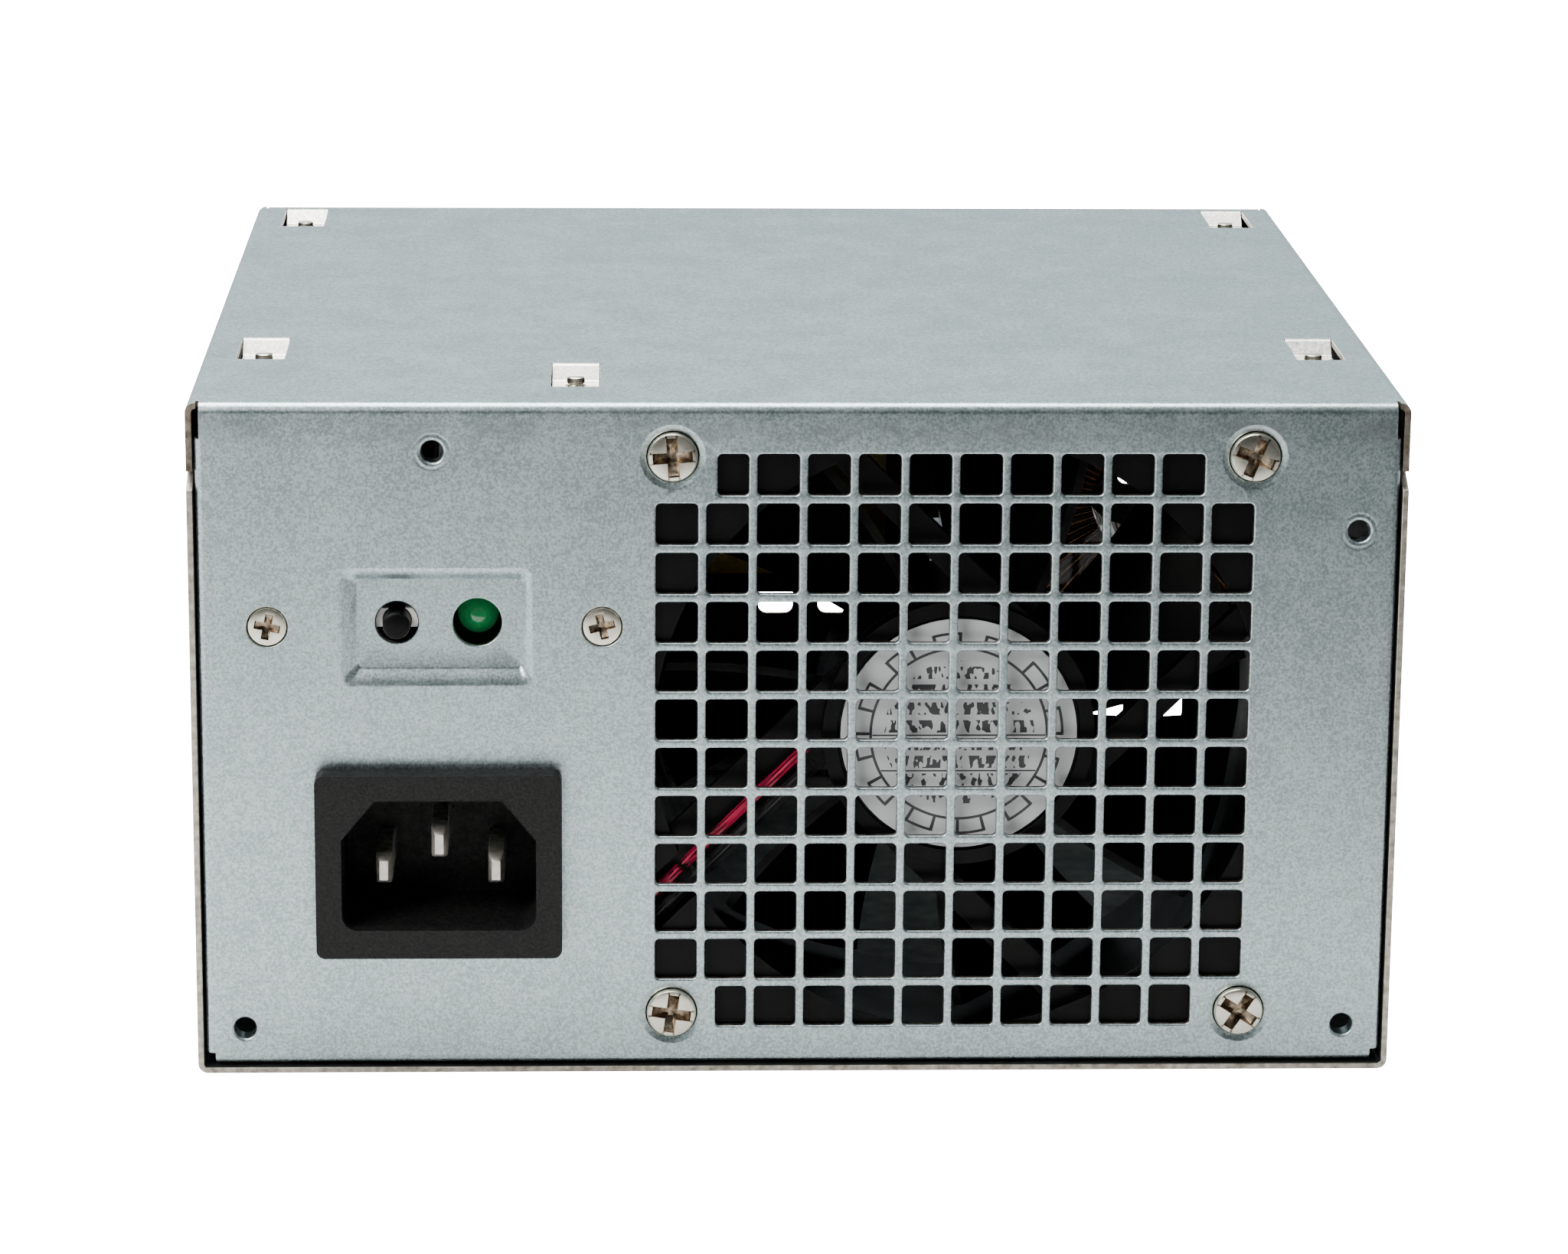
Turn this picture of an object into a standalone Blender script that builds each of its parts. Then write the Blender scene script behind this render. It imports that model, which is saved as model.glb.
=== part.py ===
"""Desktop computer power supply in the ATX outline, tray uppermost.

All constants are millimetres; add_object scales each mesh to metres.
The origin is at the bottom centre of the whole unit. X runs along the connector face,
+Y from the connector face to the cable end, and +Z from the cover to the tray.
"""

import math

import bmesh
import bpy

MM = 0.001

# ---- driving dimensions -------------------------------------------------------------
WIDTH, DEPTH, HEIGHT = 150.0, 140.0, 86.0
SHEET = 0.8
GAP = 0.3
FRONT, REAR = -DEPTH / 2, DEPTH / 2
INSIDE_FRONT = FRONT + SHEET
INSIDE_REAR = REAR - SHEET
BEND = 0.9

# Chassis: tray with a front and a rear panel
FLANGE_X = WIDTH / 2 - SHEET / 2
TRAY_Z = HEIGHT - SHEET / 2
PANEL_X = FLANGE_X - SHEET - GAP
NECK_X = PANEL_X - 0.6
PANEL_FOOT_Z = 1.6
SHOULDER_Z = 82.0
FOOT_NOTCH = (72.2, 2.9)
NOTCH_Y = DEPTH / 2 - 1.4
FLANGE_LOW_Z = 77.4
RETURN_Y = 60.0
TAB_WIDTH = 6.1
TAB_DROP = 2.0
# Each window: middle x, front edge y, rear edge y, screw distance from the rear edge
WINDOWS = [
    (-67.5, -43.0, -29.0, 6.1),
    (67.5, -43.0, -29.0, 6.1),
    (-27.5, -59.8, -45.2, 4.4),
    (-67.5, 53.0, 67.6, 6.1),
    (67.5, 53.0, 67.6, 6.1),
]
DISH_OUTER = (-56.5, -32.7, 50.3, 65.5)
DISH_FLOOR = (-54.4, -34.1, 52.6, 63.8)
DISH_DEPTH = 1.0
MOUNT_HOLES = [(-45.0, 80.0), (69.0, 70.0), (-69.0, 6.0), (69.0, 6.0)]
MOUNT_HOLE_RADIUS = 1.45
COLLAR_RADIUS = 2.3
COLLAR_LENGTH = 1.8

# Grille in front of the fan
FAN_X, FAN_Z = 20.15, 43.6
GRILLE_COUNT = 12
GRILLE_PITCH = 6.22
GRILLE_HOLE = 5.15
GRILLE_CORNER_HOLE = 3.8
GRILLE_X = FAN_X - 35.22
GRILLE_Z = 77.11

# Fan
FAN_SIZE, FAN_DEPTH = 80.0, 25.0
FAN_BORE = 38.0
FAN_FLANGE = 3.5
FAN_SCREW_PITCH = 71.5
FAN_FRONT = INSIDE_FRONT + GAP
FAN_REAR = FAN_FRONT + FAN_DEPTH
HUB_RADIUS = 17.0
HUB_FRONT = FAN_FRONT + 1.5
HUB_BACK = FAN_FRONT + 4.0
LABEL_RADIUS = 14.75
STRUT_OFFSET, STRUT_WIDTH = 14.8, 3.6
LEAD_STRUT = 135
ROTOR_FRONT, ROTOR_REAR = HUB_BACK + 0.4, FAN_REAR - 0.7
BLADE_COUNT = 7
BLADE_TIP = 37.2
BLADE_CHORD = math.radians(32.0)
FIRST_BLADE = math.radians(22.7)
BLADE_THICKNESS = 1.2
SHAFT_RADIUS = 1.5
BEARING_RADIUS = 3.6
BOSS_RADIUS = 5.0
PLUG_X, PLUG_Y = -24.0, -38.5

# Mains inlet
INLET_X, INLET_Z = -44.5, 28.0
INLET_FLANGE = (30.5, 23.6, 3.2)
INLET_BODY = (27.0, 20.0)
INLET_FACE = FRONT - GAP - INLET_FLANGE[2]
INLET_BACK = -54.5
SOCKET_DEPTH = 16.7
PIN_SECTION = (2.0, 4.0)
# Each pin: name, x, z, tip y
PINS = [
    ("line_pin", -51.5, 26.2, -68.8),
    ("neutral_pin", -37.5, 26.2, -68.8),
    ("earth_pin", -44.5, 30.2, -70.8),
]
PIN_TAIL = -48.0

# Test button and lamp behind the dished pad
BUTTON_X, LAMP_X, STATUS_Z = -49.5, -39.6, 58.3
BUTTON_RADIUS, BUTTON_TIP = 1.7, -71.2
LAMP_RADIUS, LAMP_TIP = 2.5, -66.6
BRACKET_SCREWS = [(-65.4, 57.95), (-24.25, 57.95)]
STATUS_BOARD_Y = (-57.3, -55.7)

# Circuit board, hanging under the tray
BOARD_LOW, BOARD_HIGH = 81.3, 82.9
PARTS_HIGH = BOARD_LOW - GAP
HEATSINK_LOW = 30.0
BOARD_SCREW_RADIUS = 1.4

# Cable outlet
OUTLET_X, OUTLET_Z, OUTLET_RADIUS = -48.0, 58.0, 15.0

# Vent slots in the cable panel
VENT_PITCH, VENT_HALF_WIDTH = 9.0, 2.6
# Each row: middle z, half height, first x, number of slots
VENT_ROWS = [(59.0, 15.0, -16.0, 10), (28.5, 4.5, 2.0, 8), (9.5, 2.5, 43.5, 3)]

# Output inductor
TOROID_X, TOROID_Y, TOROID_Z = 48.0, -10.0, 61.7

# ---- finishes: base colour, roughness, metallic ---------------------------------------
GALVANISED = ((0.60, 0.62, 0.65), 0.42, 1.0)
NICKEL = ((0.66, 0.60, 0.54), 0.28, 1.0)
STEEL = ((0.45, 0.45, 0.46), 0.35, 1.0)
ALUMINIUM = ((0.72, 0.73, 0.74), 0.38, 1.0)
BLACK_PLASTIC = ((0.025, 0.025, 0.027), 0.5, 0.0)
WHITE_PLASTIC = ((0.82, 0.81, 0.77), 0.45, 0.0)
PAPER = ((0.86, 0.87, 0.88), 0.6, 0.0)
FIBREGLASS = ((0.33, 0.22, 0.09), 0.55, 0.0)
FERRITE = ((0.05, 0.05, 0.055), 0.6, 0.0)
YELLOW_TAPE = ((0.80, 0.60, 0.06), 0.35, 0.0)
COPPER = ((0.72, 0.34, 0.16), 0.3, 1.0)
BLUE_SLEEVE = ((0.04, 0.09, 0.28), 0.35, 0.0)
GREEN_LENS = ((0.16, 0.55, 0.24), 0.12, 0.0)
RED_WIRE = ((0.60, 0.03, 0.10), 0.4, 0.0)
BROWN_WIRE = ((0.22, 0.09, 0.04), 0.45, 0.0)
BLUE_WIRE = ((0.05, 0.12, 0.45), 0.45, 0.0)
GREEN_WIRE = ((0.12, 0.38, 0.10), 0.45, 0.0)
CLEAR_FILM = ((0.75, 0.75, 0.70), 0.25, 0.0)


# ---- shape helpers --------------------------------------------------------------------
def point(axis, u, v, height):
    """Place plane coordinates u, v at a height along an axis."""
    return {"X": (height, u, v), "Y": (u, height, v), "Z": (u, v, height)}[axis]


def rectangle(u0, u1, v0, v1):
    """Corners of a rectangle."""
    return [(u0, v0), (u1, v0), (u1, v1), (u0, v1)]


def circle(u, v, radius, segments=24):
    """Points on a circle."""
    turns = (2 * math.pi * i / segments for i in range(segments))
    return [(u + radius * math.cos(t), v + radius * math.sin(t)) for t in turns]


def round_rectangle(u0, u1, v0, v1, radius, steps=3):
    """A rectangle with an arc at each corner."""
    centres = [(u1 - radius, v0 + radius), (u1 - radius, v1 - radius)]
    centres += [(u0 + radius, v1 - radius), (u0 + radius, v0 + radius)]
    outline = []
    for quarter, (cu, cv) in enumerate(centres):
        for step in range(steps + 1):
            turn = math.pi / 2 * (quarter - 1 + step / steps)
            outline.append((cu + radius * math.cos(turn), cv + radius * math.sin(turn)))
    return outline


def add_loft(bm, rings):
    """Skin through closed rings of equal length, capped at both ends."""
    loops = [[bm.verts.new(p) for p in ring] for ring in rings]
    count = len(loops[0])
    for low, high in zip(loops, loops[1:]):
        for a in range(count):
            b = (a + 1) % count
            bm.faces.new((low[a], low[b], high[b], high[a]))
    bm.faces.new(loops[0])
    bm.faces.new(loops[-1])


def add_prism(bm, outline, axis, low, high):
    """Extrude an outline along an axis."""
    add_loft(bm, [[point(axis, u, v, height) for u, v in outline] for height in (low, high)])


def add_box(bm, x, y, z):
    """A box between the low and high values of each axis."""
    add_prism(bm, rectangle(*x, *y), "Z", *z)


def add_turned(bm, profile, axis, centre, segments=24):
    """Turn a closed profile of (radius, height) points about an axis."""
    rings = []
    for radius, height in profile:
        outline = circle(*centre, radius, segments) if radius else [centre]
        rings.append([bm.verts.new(point(axis, u, v, height)) for u, v in outline])
    for low, high in zip(rings, rings[1:] + rings[:1]):
        if len(low) == len(high) == 1:
            continue
        for a in range(segments):
            b = (a + 1) % segments
            corners = [low[a % len(low)], low[b % len(low)], high[b % len(high)], high[a % len(high)]]
            bm.faces.new(list(dict.fromkeys(corners)))


def add_ring_prism(bm, outer, inner, place, low, high):
    """Extrude the band between two outlines of equal length; place gives each 3D point."""
    loops = [[bm.verts.new(place(u, v, height)) for u, v in outline]
             for outline in (outer, inner) for height in (low, high)]
    outer_low, outer_high, inner_low, inner_high = loops
    corners = (outer_low, outer_high, inner_high, inner_low)
    for one, two in zip(corners, corners[1:] + corners[:1]):
        for a in range(len(one)):
            b = (a + 1) % len(one)
            bm.faces.new((one[a], one[b], two[b], two[a]))


def add_wound_arc(bm, centre, reach, wall, start, sweep, steps):
    """A hollow square-section shell that covers part of a ring standing in the XZ plane.

    reach is inner radius, outer radius and half thickness of the shell's hollow.
    """
    x, y, z = centre
    inner, outer, half = reach
    hollow = rectangle(inner, outer, -half, half)
    skin = rectangle(inner - wall, outer + wall, -half - wall, half + wall)
    stations = []
    for step in range(steps + 1):
        turn = start + sweep * step / steps
        loops = [[(x + r * math.cos(turn), y + w, z + r * math.sin(turn)) for r, w in loop]
                 for loop in (skin, hollow)]
        stations.append([[bm.verts.new(place) for place in loop] for loop in loops])
    for first, second in zip(stations, stations[1:]):
        for one, two in zip(first, second):
            for a in range(4):
                b = (a + 1) % 4
                bm.faces.new((one[a], one[b], two[b], two[a]))
    for outside, inside in (stations[0], stations[-1]):
        for a in range(4):
            b = (a + 1) % 4
            bm.faces.new((outside[a], outside[b], inside[b], inside[a]))


def plain_object(name, bm, origin=(0.0, 0.0, 0.0)):
    """Turn a bmesh in millimetres into a smooth-shaded object in metres."""
    bmesh.ops.recalc_face_normals(bm, faces=bm.faces)
    bmesh.ops.translate(bm, vec=[-c for c in origin], verts=bm.verts)
    bmesh.ops.scale(bm, vec=(MM, MM, MM), verts=bm.verts)
    mesh = bpy.data.meshes.new(name)
    bm.to_mesh(mesh)
    bm.free()
    mesh.shade_smooth()
    mesh.set_sharp_from_angle(angle=math.radians(35))
    item = bpy.data.objects.new(name, mesh)
    item.location = [c * MM for c in origin]
    bpy.context.scene.collection.objects.link(item)
    return item


def give_finish(item, finish):
    """Give an object its own material."""
    colour, roughness, metallic = finish
    material = bpy.data.materials.new(item.name + "_finish")
    material.use_nodes = True
    shader = material.node_tree.nodes["Principled BSDF"]
    shader.inputs["Base Color"].default_value = (*colour, 1.0)
    shader.inputs["Roughness"].default_value = roughness
    shader.inputs["Metallic"].default_value = metallic
    item.data.materials.append(material)


def add_object(name, bm, finish, origin=(0.0, 0.0, 0.0)):
    """A named sub-part with its own finish."""
    item = plain_object(name, bm, origin)
    give_finish(item, finish)
    return item


def combine(target, operation, bm):
    """Join or cut a sub-part with a tool shape."""
    tool = plain_object(f"{target.name}_tool_{len(target.modifiers)}", bm)
    tool.hide_render = True
    tool.display_type = "WIRE"
    modifier = target.modifiers.new(operation.lower(), "BOOLEAN")
    modifier.operation = operation
    modifier.object = tool


def smooth_route(points, spacing):
    """Evenly spaced points on a smooth curve through the route's own points."""
    ends = [points[0]] + list(points) + [points[-1]]
    dense = []
    for a, b, c, d in zip(ends, ends[1:], ends[2:], ends[3:]):
        for step in range(24):
            t = step / 24
            weights = (-t + 2 * t**2 - t**3, 2 - 5 * t**2 + 3 * t**3, t + 4 * t**2 - 3 * t**3, t**3 - t**2)
            dense.append([sum(w * p[k] for w, p in zip(weights, (a, b, c, d))) / 2 for k in range(3)])
    dense.append(list(points[-1]))
    lengths = [0.0]
    for one, two in zip(dense, dense[1:]):
        lengths.append(lengths[-1] + math.dist(one, two))
    count = max(2, round(lengths[-1] / spacing))
    route, index = [], 0
    for stop in range(count + 1):
        goal = lengths[-1] * stop / count
        while index < len(lengths) - 2 and lengths[index + 1] < goal:
            index += 1
        part = (goal - lengths[index]) / (lengths[index + 1] - lengths[index])
        route.append([a + (b - a) * part for a, b in zip(dense[index], dense[index + 1])])
    return route


def add_lead(name, points, radius, finish):
    """An insulated wire: a round tube along a smooth route."""
    curve = bpy.data.curves.new(name, "CURVE")
    curve.dimensions = "3D"
    curve.bevel_depth = radius * MM
    curve.bevel_resolution = 2
    curve.use_fill_caps = True
    route = smooth_route(points, 8 * radius)
    spline = curve.splines.new("POLY")
    spline.points.add(len(route) - 1)
    for knot, place in zip(spline.points, route):
        knot.co = (*[c * MM for c in place], 1.0)
    item = bpy.data.objects.new(name, curve)
    bpy.context.scene.collection.objects.link(item)
    give_finish(item, finish)


# ---- sheet metal ----------------------------------------------------------------------
class Sheet:
    """An open sheet of flat cells whose panels share the corners that they meet at."""

    def __init__(self):
        self.bm = bmesh.new()
        self.corners = {}

    def corner(self, place):
        key = tuple(round(c, 3) for c in place)
        if key not in self.corners:
            self.corners[key] = self.bm.verts.new(place)
        return self.corners[key]

    def face(self, *places):
        self.bm.faces.new([self.corner(p) for p in places])

    def grid(self, place, us, vs, leave_out=lambda u, v: False):
        """Cells between sorted lines; leave_out is asked about each cell's middle."""
        us, vs = sorted(us), sorted(vs)
        for u0, u1 in zip(us, us[1:]):
            for v0, v1 in zip(vs, vs[1:]):
                if not leave_out((u0 + u1) / 2, (v0 + v1) / 2):
                    self.face(place(u0, v0), place(u1, v0), place(u1, v1), place(u0, v1))


def within(values, limit):
    """The values no further than limit from zero."""
    return [v for v in values if abs(v) <= limit]


def bend_and_thicken(item):
    """Round the sheet's right-angle bends and give the sheet its thickness."""
    bend = item.modifiers.new("bends", "BEVEL")
    bend.limit_method = "ANGLE"
    bend.angle_limit = math.radians(60)
    bend.width = BEND * MM
    bend.segments = 3
    thickness = item.modifiers.new("thickness", "SOLIDIFY")
    thickness.thickness = SHEET * MM
    thickness.offset = 0.0
    thickness.use_even_offset = True


def window_span(middle):
    """Left and right edge of a tray window."""
    return middle - TAB_WIDTH / 2, middle + TAB_WIDTH / 2


def chassis_sheet():
    """Tray, end panels, returns, side flanges, dished pad and lanced tabs as one open sheet."""
    sheet = Sheet()
    spans = [window_span(middle) for middle, *_ in WINDOWS]
    xs = {side * x for side in (-1, 1) for x in (FLANGE_X, PANEL_X, NECK_X, FOOT_NOTCH[0])}
    xs |= {x for span in spans for x in span} | {*DISH_OUTER[:2], *DISH_FLOOR[:2]}
    zs = {PANEL_FOOT_Z, FOOT_NOTCH[1], SHOULDER_Z, TRAY_Z, *DISH_OUTER[2:], *DISH_FLOOR[2:]}
    ys = {side * y for side in (-1, 1) for y in (NOTCH_Y, DEPTH / 2 - SHEET / 2)}
    ys |= {y for _, near, far, _ in WINDOWS for y in (near, far)}
    return_zs = [z for z in zs if FOOT_NOTCH[1] <= z <= SHOULDER_Z]

    def panel_gap(x, z):
        return abs(x) > NECK_X and z > SHOULDER_Z or abs(x) > FOOT_NOTCH[0] and z < FOOT_NOTCH[1]

    def tray_gap(x, y):
        in_window = any(
            abs(x - middle) < TAB_WIDTH / 2 and near < y < far for middle, near, far, _ in WINDOWS
        )
        return in_window or abs(x) > NECK_X and abs(y) > NOTCH_Y

    def dish(x, z):
        inside = DISH_FLOOR[0] <= x <= DISH_FLOOR[1] and DISH_FLOOR[2] <= z <= DISH_FLOOR[3]
        return DISH_DEPTH if inside else 0.0

    for side in (-1, 1):
        plane = side * (DEPTH / 2 - SHEET / 2)
        depth = dish if side < 0 else lambda x, z: 0.0
        sheet.grid(lambda x, z: (x, plane + depth(x, z), z), within(xs, PANEL_X), zs, panel_gap)
        sheet.grid(lambda x, y: (x, y, PANEL_FOOT_Z), within(xs, FOOT_NOTCH[0]), [plane, side * RETURN_Y])
        for end in (-PANEL_X, PANEL_X):
            sheet.grid(lambda y, z: (end, y, z), [plane, side * RETURN_Y], return_zs)
        flange = side * FLANGE_X
        sheet.grid(lambda y, z: (flange, y, z), within(ys, NOTCH_Y), [FLANGE_LOW_Z, TRAY_Z])
    sheet.grid(lambda x, y: (x, y, TRAY_Z), xs, ys, tray_gap)

    for middle, near, far, _ in WINDOWS:
        left, right = window_span(middle)
        low, knee, end = TRAY_Z - TAB_DROP, far - TAB_DROP, near + SHEET
        sheet.face((left, far, TRAY_Z), (right, far, TRAY_Z), (right, knee, low), (left, knee, low))
        sheet.face((left, knee, low), (right, knee, low), (right, end, low), (left, end, low))
    return sheet.bm


def grille_holes():
    """Middle x, middle z and width of each square hole; the four corners are left solid."""
    last = GRILLE_COUNT - 1
    for row in range(GRILLE_COUNT):
        edge_row = row in (0, last)
        for column in range(1 if edge_row else 0, last if edge_row else GRILLE_COUNT):
            x, z = GRILLE_X + column * GRILLE_PITCH, GRILLE_Z - row * GRILLE_PITCH
            width = GRILLE_CORNER_HOLE if edge_row and column == 1 else GRILLE_HOLE
            yield x + (GRILLE_HOLE - width) / 2, z, width


def fan_screw_places():
    """The four fan screws."""
    half = FAN_SCREW_PITCH / 2
    return [(FAN_X + a * half, FAN_Z + b * half) for a in (-1, 1) for b in (-1, 1)]


def make_chassis():
    """Galvanised steel tray with the connector panel and the cable panel."""
    chassis = add_object("chassis", chassis_sheet(), GALVANISED)
    bend_and_thicken(chassis)

    collars = bmesh.new()
    for x, z in MOUNT_HOLES:
        collar = circle(x, z, COLLAR_RADIUS, 12)
        add_prism(collars, collar, "Y", FRONT + SHEET / 2, INSIDE_FRONT + COLLAR_LENGTH)
    combine(chassis, "UNION", collars)

    holes = bmesh.new()
    through = (FRONT - 0.5, INSIDE_FRONT + 0.5)
    for x, z, width in grille_holes():
        opening = rectangle(x - width / 2, x + width / 2, z - GRILLE_HOLE / 2, z + GRILLE_HOLE / 2)
        add_prism(holes, opening, "Y", *through)
    for x, z in MOUNT_HOLES:
        bore = circle(x, z, MOUNT_HOLE_RADIUS, 12)
        add_prism(holes, bore, "Y", FRONT - 0.5, INSIDE_FRONT + COLLAR_LENGTH + 0.5)
    for x, z in fan_screw_places():
        add_prism(holes, circle(x, z, 3.45, 12), "Y", *through)
    for x, z in BRACKET_SCREWS:
        add_prism(holes, circle(x, z, 2.8, 12), "Y", *through)
    dished = (FRONT - 0.5, INSIDE_FRONT + DISH_DEPTH + 0.5)
    add_prism(holes, circle(BUTTON_X, STATUS_Z, 2.6, 16), "Y", *dished)
    add_prism(holes, circle(LAMP_X, STATUS_Z, 3.0, 16), "Y", *dished)
    half_x, half_z = INLET_BODY[0] / 2 + GAP, INLET_BODY[1] / 2 + GAP
    cutout = rectangle(INLET_X - half_x, INLET_X + half_x, INLET_Z - half_z, INLET_Z + half_z)
    add_prism(holes, cutout, "Y", *through)
    combine(chassis, "DIFFERENCE", holes)

    rear = bmesh.new()
    behind = (INSIDE_REAR - 0.5, REAR + 0.5)
    add_prism(rear, circle(OUTLET_X, OUTLET_Z, OUTLET_RADIUS, 32), "Y", *behind)
    for middle_z, half, first_x, count in VENT_ROWS:
        for column in range(count):
            x = first_x + VENT_PITCH * column
            slot = rectangle(x - VENT_HALF_WIDTH, x + VENT_HALF_WIDTH, middle_z - half, middle_z + half)
            add_prism(rear, slot, "Y", *behind)
    for middle, _, far, screw in WINDOWS:
        span = (TRAY_Z - TAB_DROP - 1.0, TRAY_Z - TAB_DROP + 1.0)
        add_prism(rear, circle(middle, far - screw, BOARD_SCREW_RADIUS + GAP, 12), "Z", *span)
    for x, y in cover_screw_places():
        clearance = circle(x, y, BOARD_SCREW_RADIUS + GAP, 12)
        add_prism(rear, clearance, "Z", PANEL_FOOT_Z - 1.0, PANEL_FOOT_Z + 1.0)
    combine(chassis, "DIFFERENCE", rear)
    flat = chassis.modifiers.new("merge_flat_cells", "DECIMATE")
    flat.decimate_type = "DISSOLVE"
    flat.angle_limit = math.radians(1.0)


def cover_screw_places():
    """The four screws that hold the cover to the end panels' foot returns."""
    return [(x, y) for x in (-65.0, 65.0) for y in (-65.0, 65.0)]


def make_cover():
    """U-shaped cover with lips that slip inside the tray's side flanges."""
    lip_y, chamfer_y, end_y = 56.0, 66.3, DEPTH / 2
    wall_top, corner_z, joggle_z, lip_x, lip_top = 77.1, 75.1, 75.4, FLANGE_X - 1.2, 82.5
    low = SHEET / 2
    sheet = Sheet()
    ys = [-end_y, -lip_y, lip_y, end_y]
    sheet.grid(lambda x, y: (x, y, low), [-FLANGE_X, FLANGE_X], ys)
    for side in (-1, 1):
        wall, lip = side * FLANGE_X, side * lip_x
        rise = [(wall, low), (wall, joggle_z), (lip, joggle_z + 1.6), (lip, lip_top)]
        for (x0, z0), (x1, z1) in zip(rise, rise[1:]):
            sheet.face((x0, -lip_y, z0), (x0, lip_y, z0), (x1, lip_y, z1), (x1, -lip_y, z1))
        for end in (-1, 1):
            outline = [(lip_y, low), (end_y, low), (end_y, corner_z), (chamfer_y, wall_top)]
            outline += [(lip_y, wall_top), (lip_y, joggle_z)]
            sheet.face(*[(wall, end * y, z) for y, z in outline])
    cover = add_object("cover", sheet.bm, GALVANISED)
    bend_and_thicken(cover)
    holes = bmesh.new()
    for x, y in cover_screw_places():
        add_prism(holes, circle(x, y, 3.2, 16), "Z", -0.5, SHEET + 0.5)
    combine(cover, "DIFFERENCE", holes)

    profile = screw_profile(2.9, 0.1, 0.9, BOARD_SCREW_RADIUS, 6.0)
    add_screws("cover_screw", cover_screw_places(), profile, "Z")


def screw_profile(head_radius, head_start, head_end, shank_radius, tip):
    """Half section of a screw from the face of its head to its tip."""
    return [(0.0, head_start), (head_radius, head_start), (head_radius, head_end),
            (shank_radius, head_end), (shank_radius, tip), (0.0, tip)]


def add_screws(name, places, profile, axis):
    """A numbered screw at each place."""
    for number, centre in enumerate(places, 1):
        screw = bmesh.new()
        add_turned(screw, profile, axis, centre, 12)
        add_object(f"{name}_{number}", screw, NICKEL)


# ---- fan ------------------------------------------------------------------------------
def strut_outline(turn, inner, outer, start, end):
    """A straight bar tangent to a circle about the fan's axis.

    turn points at the bar; inner and outer are its edges' distances from the axis.
    """
    across = (math.cos(turn), math.sin(turn))
    along = (-math.sin(turn), math.cos(turn))
    corners = [(inner, start), (outer, start), (outer, end), (inner, end)]
    return [
        (FAN_X + d * across[0] + t * along[0], FAN_Z + d * across[1] + t * along[1])
        for d, t in corners
    ]


def make_fan_frame():
    """Square frame with a round duct, a motor plate on four swirl struts and a bearing boss."""
    half = FAN_SIZE / 2
    square = round_rectangle(FAN_X - half, FAN_X + half, FAN_Z - half, FAN_Z + half, 4.0, 3)
    duct = bmesh.new()
    add_prism(duct, circle(FAN_X, FAN_Z, FAN_BORE + 1.6, 40), "Y", FAN_FRONT + 1.0, FAN_REAR - 1.0)
    frame = add_object("fan_frame", duct, BLACK_PLASTIC)
    for low, high in ((FAN_FRONT, FAN_FRONT + FAN_FLANGE), (FAN_REAR - FAN_FLANGE, FAN_REAR)):
        plate = bmesh.new()
        add_prism(plate, square, "Y", low, high)
        combine(frame, "UNION", plate)
    bores = bmesh.new()
    add_prism(bores, circle(FAN_X, FAN_Z, FAN_BORE, 40), "Y", FAN_FRONT - 1.0, FAN_REAR + 1.0)
    for x, z in fan_screw_places():
        add_prism(bores, circle(x, z, 2.2, 12), "Y", FAN_FRONT - 1.0, FAN_REAR + 1.0)
    combine(frame, "DIFFERENCE", bores)

    hub = bmesh.new()
    rim = HUB_FRONT - 0.5
    step = LABEL_RADIUS + 0.4
    profile = [(0.0, HUB_FRONT), (step, HUB_FRONT), (step, rim), (HUB_RADIUS, rim)]
    profile += [(HUB_RADIUS, HUB_BACK), (BOSS_RADIUS, HUB_BACK), (BOSS_RADIUS, -49.5)]
    inner = BEARING_RADIUS + GAP
    profile += [(inner, -49.5), (inner, HUB_BACK - 0.6), (0.0, HUB_BACK - 0.6)]
    add_turned(hub, profile, "Y", (FAN_X, FAN_Z), 24)
    combine(frame, "UNION", hub)
    reach = math.sqrt((FAN_BORE + 0.8) ** 2 - STRUT_OFFSET**2)
    for turn in (45, -45, -135, LEAD_STRUT):
        carries_leads = turn == LEAD_STRUT
        inner = STRUT_OFFSET - STRUT_WIDTH / 2 - (4.4 if carries_leads else 0.0)
        front = HUB_FRONT + (1.4 if carries_leads else 0.2)
        strut = bmesh.new()
        outline = strut_outline(math.radians(turn), inner, STRUT_OFFSET + STRUT_WIDTH / 2, 0.0, reach)
        add_prism(strut, outline, "Y", front, HUB_BACK - 0.1)
        combine(frame, "UNION", strut)
    notch = bmesh.new()
    outline = strut_outline(math.radians(LEAD_STRUT), 8.6, 14.0, 30.0, 62.0)
    add_prism(notch, outline, "Y", FAN_FRONT - 1.0, FAN_FRONT + 2.9)
    combine(frame, "DIFFERENCE", notch)


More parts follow.
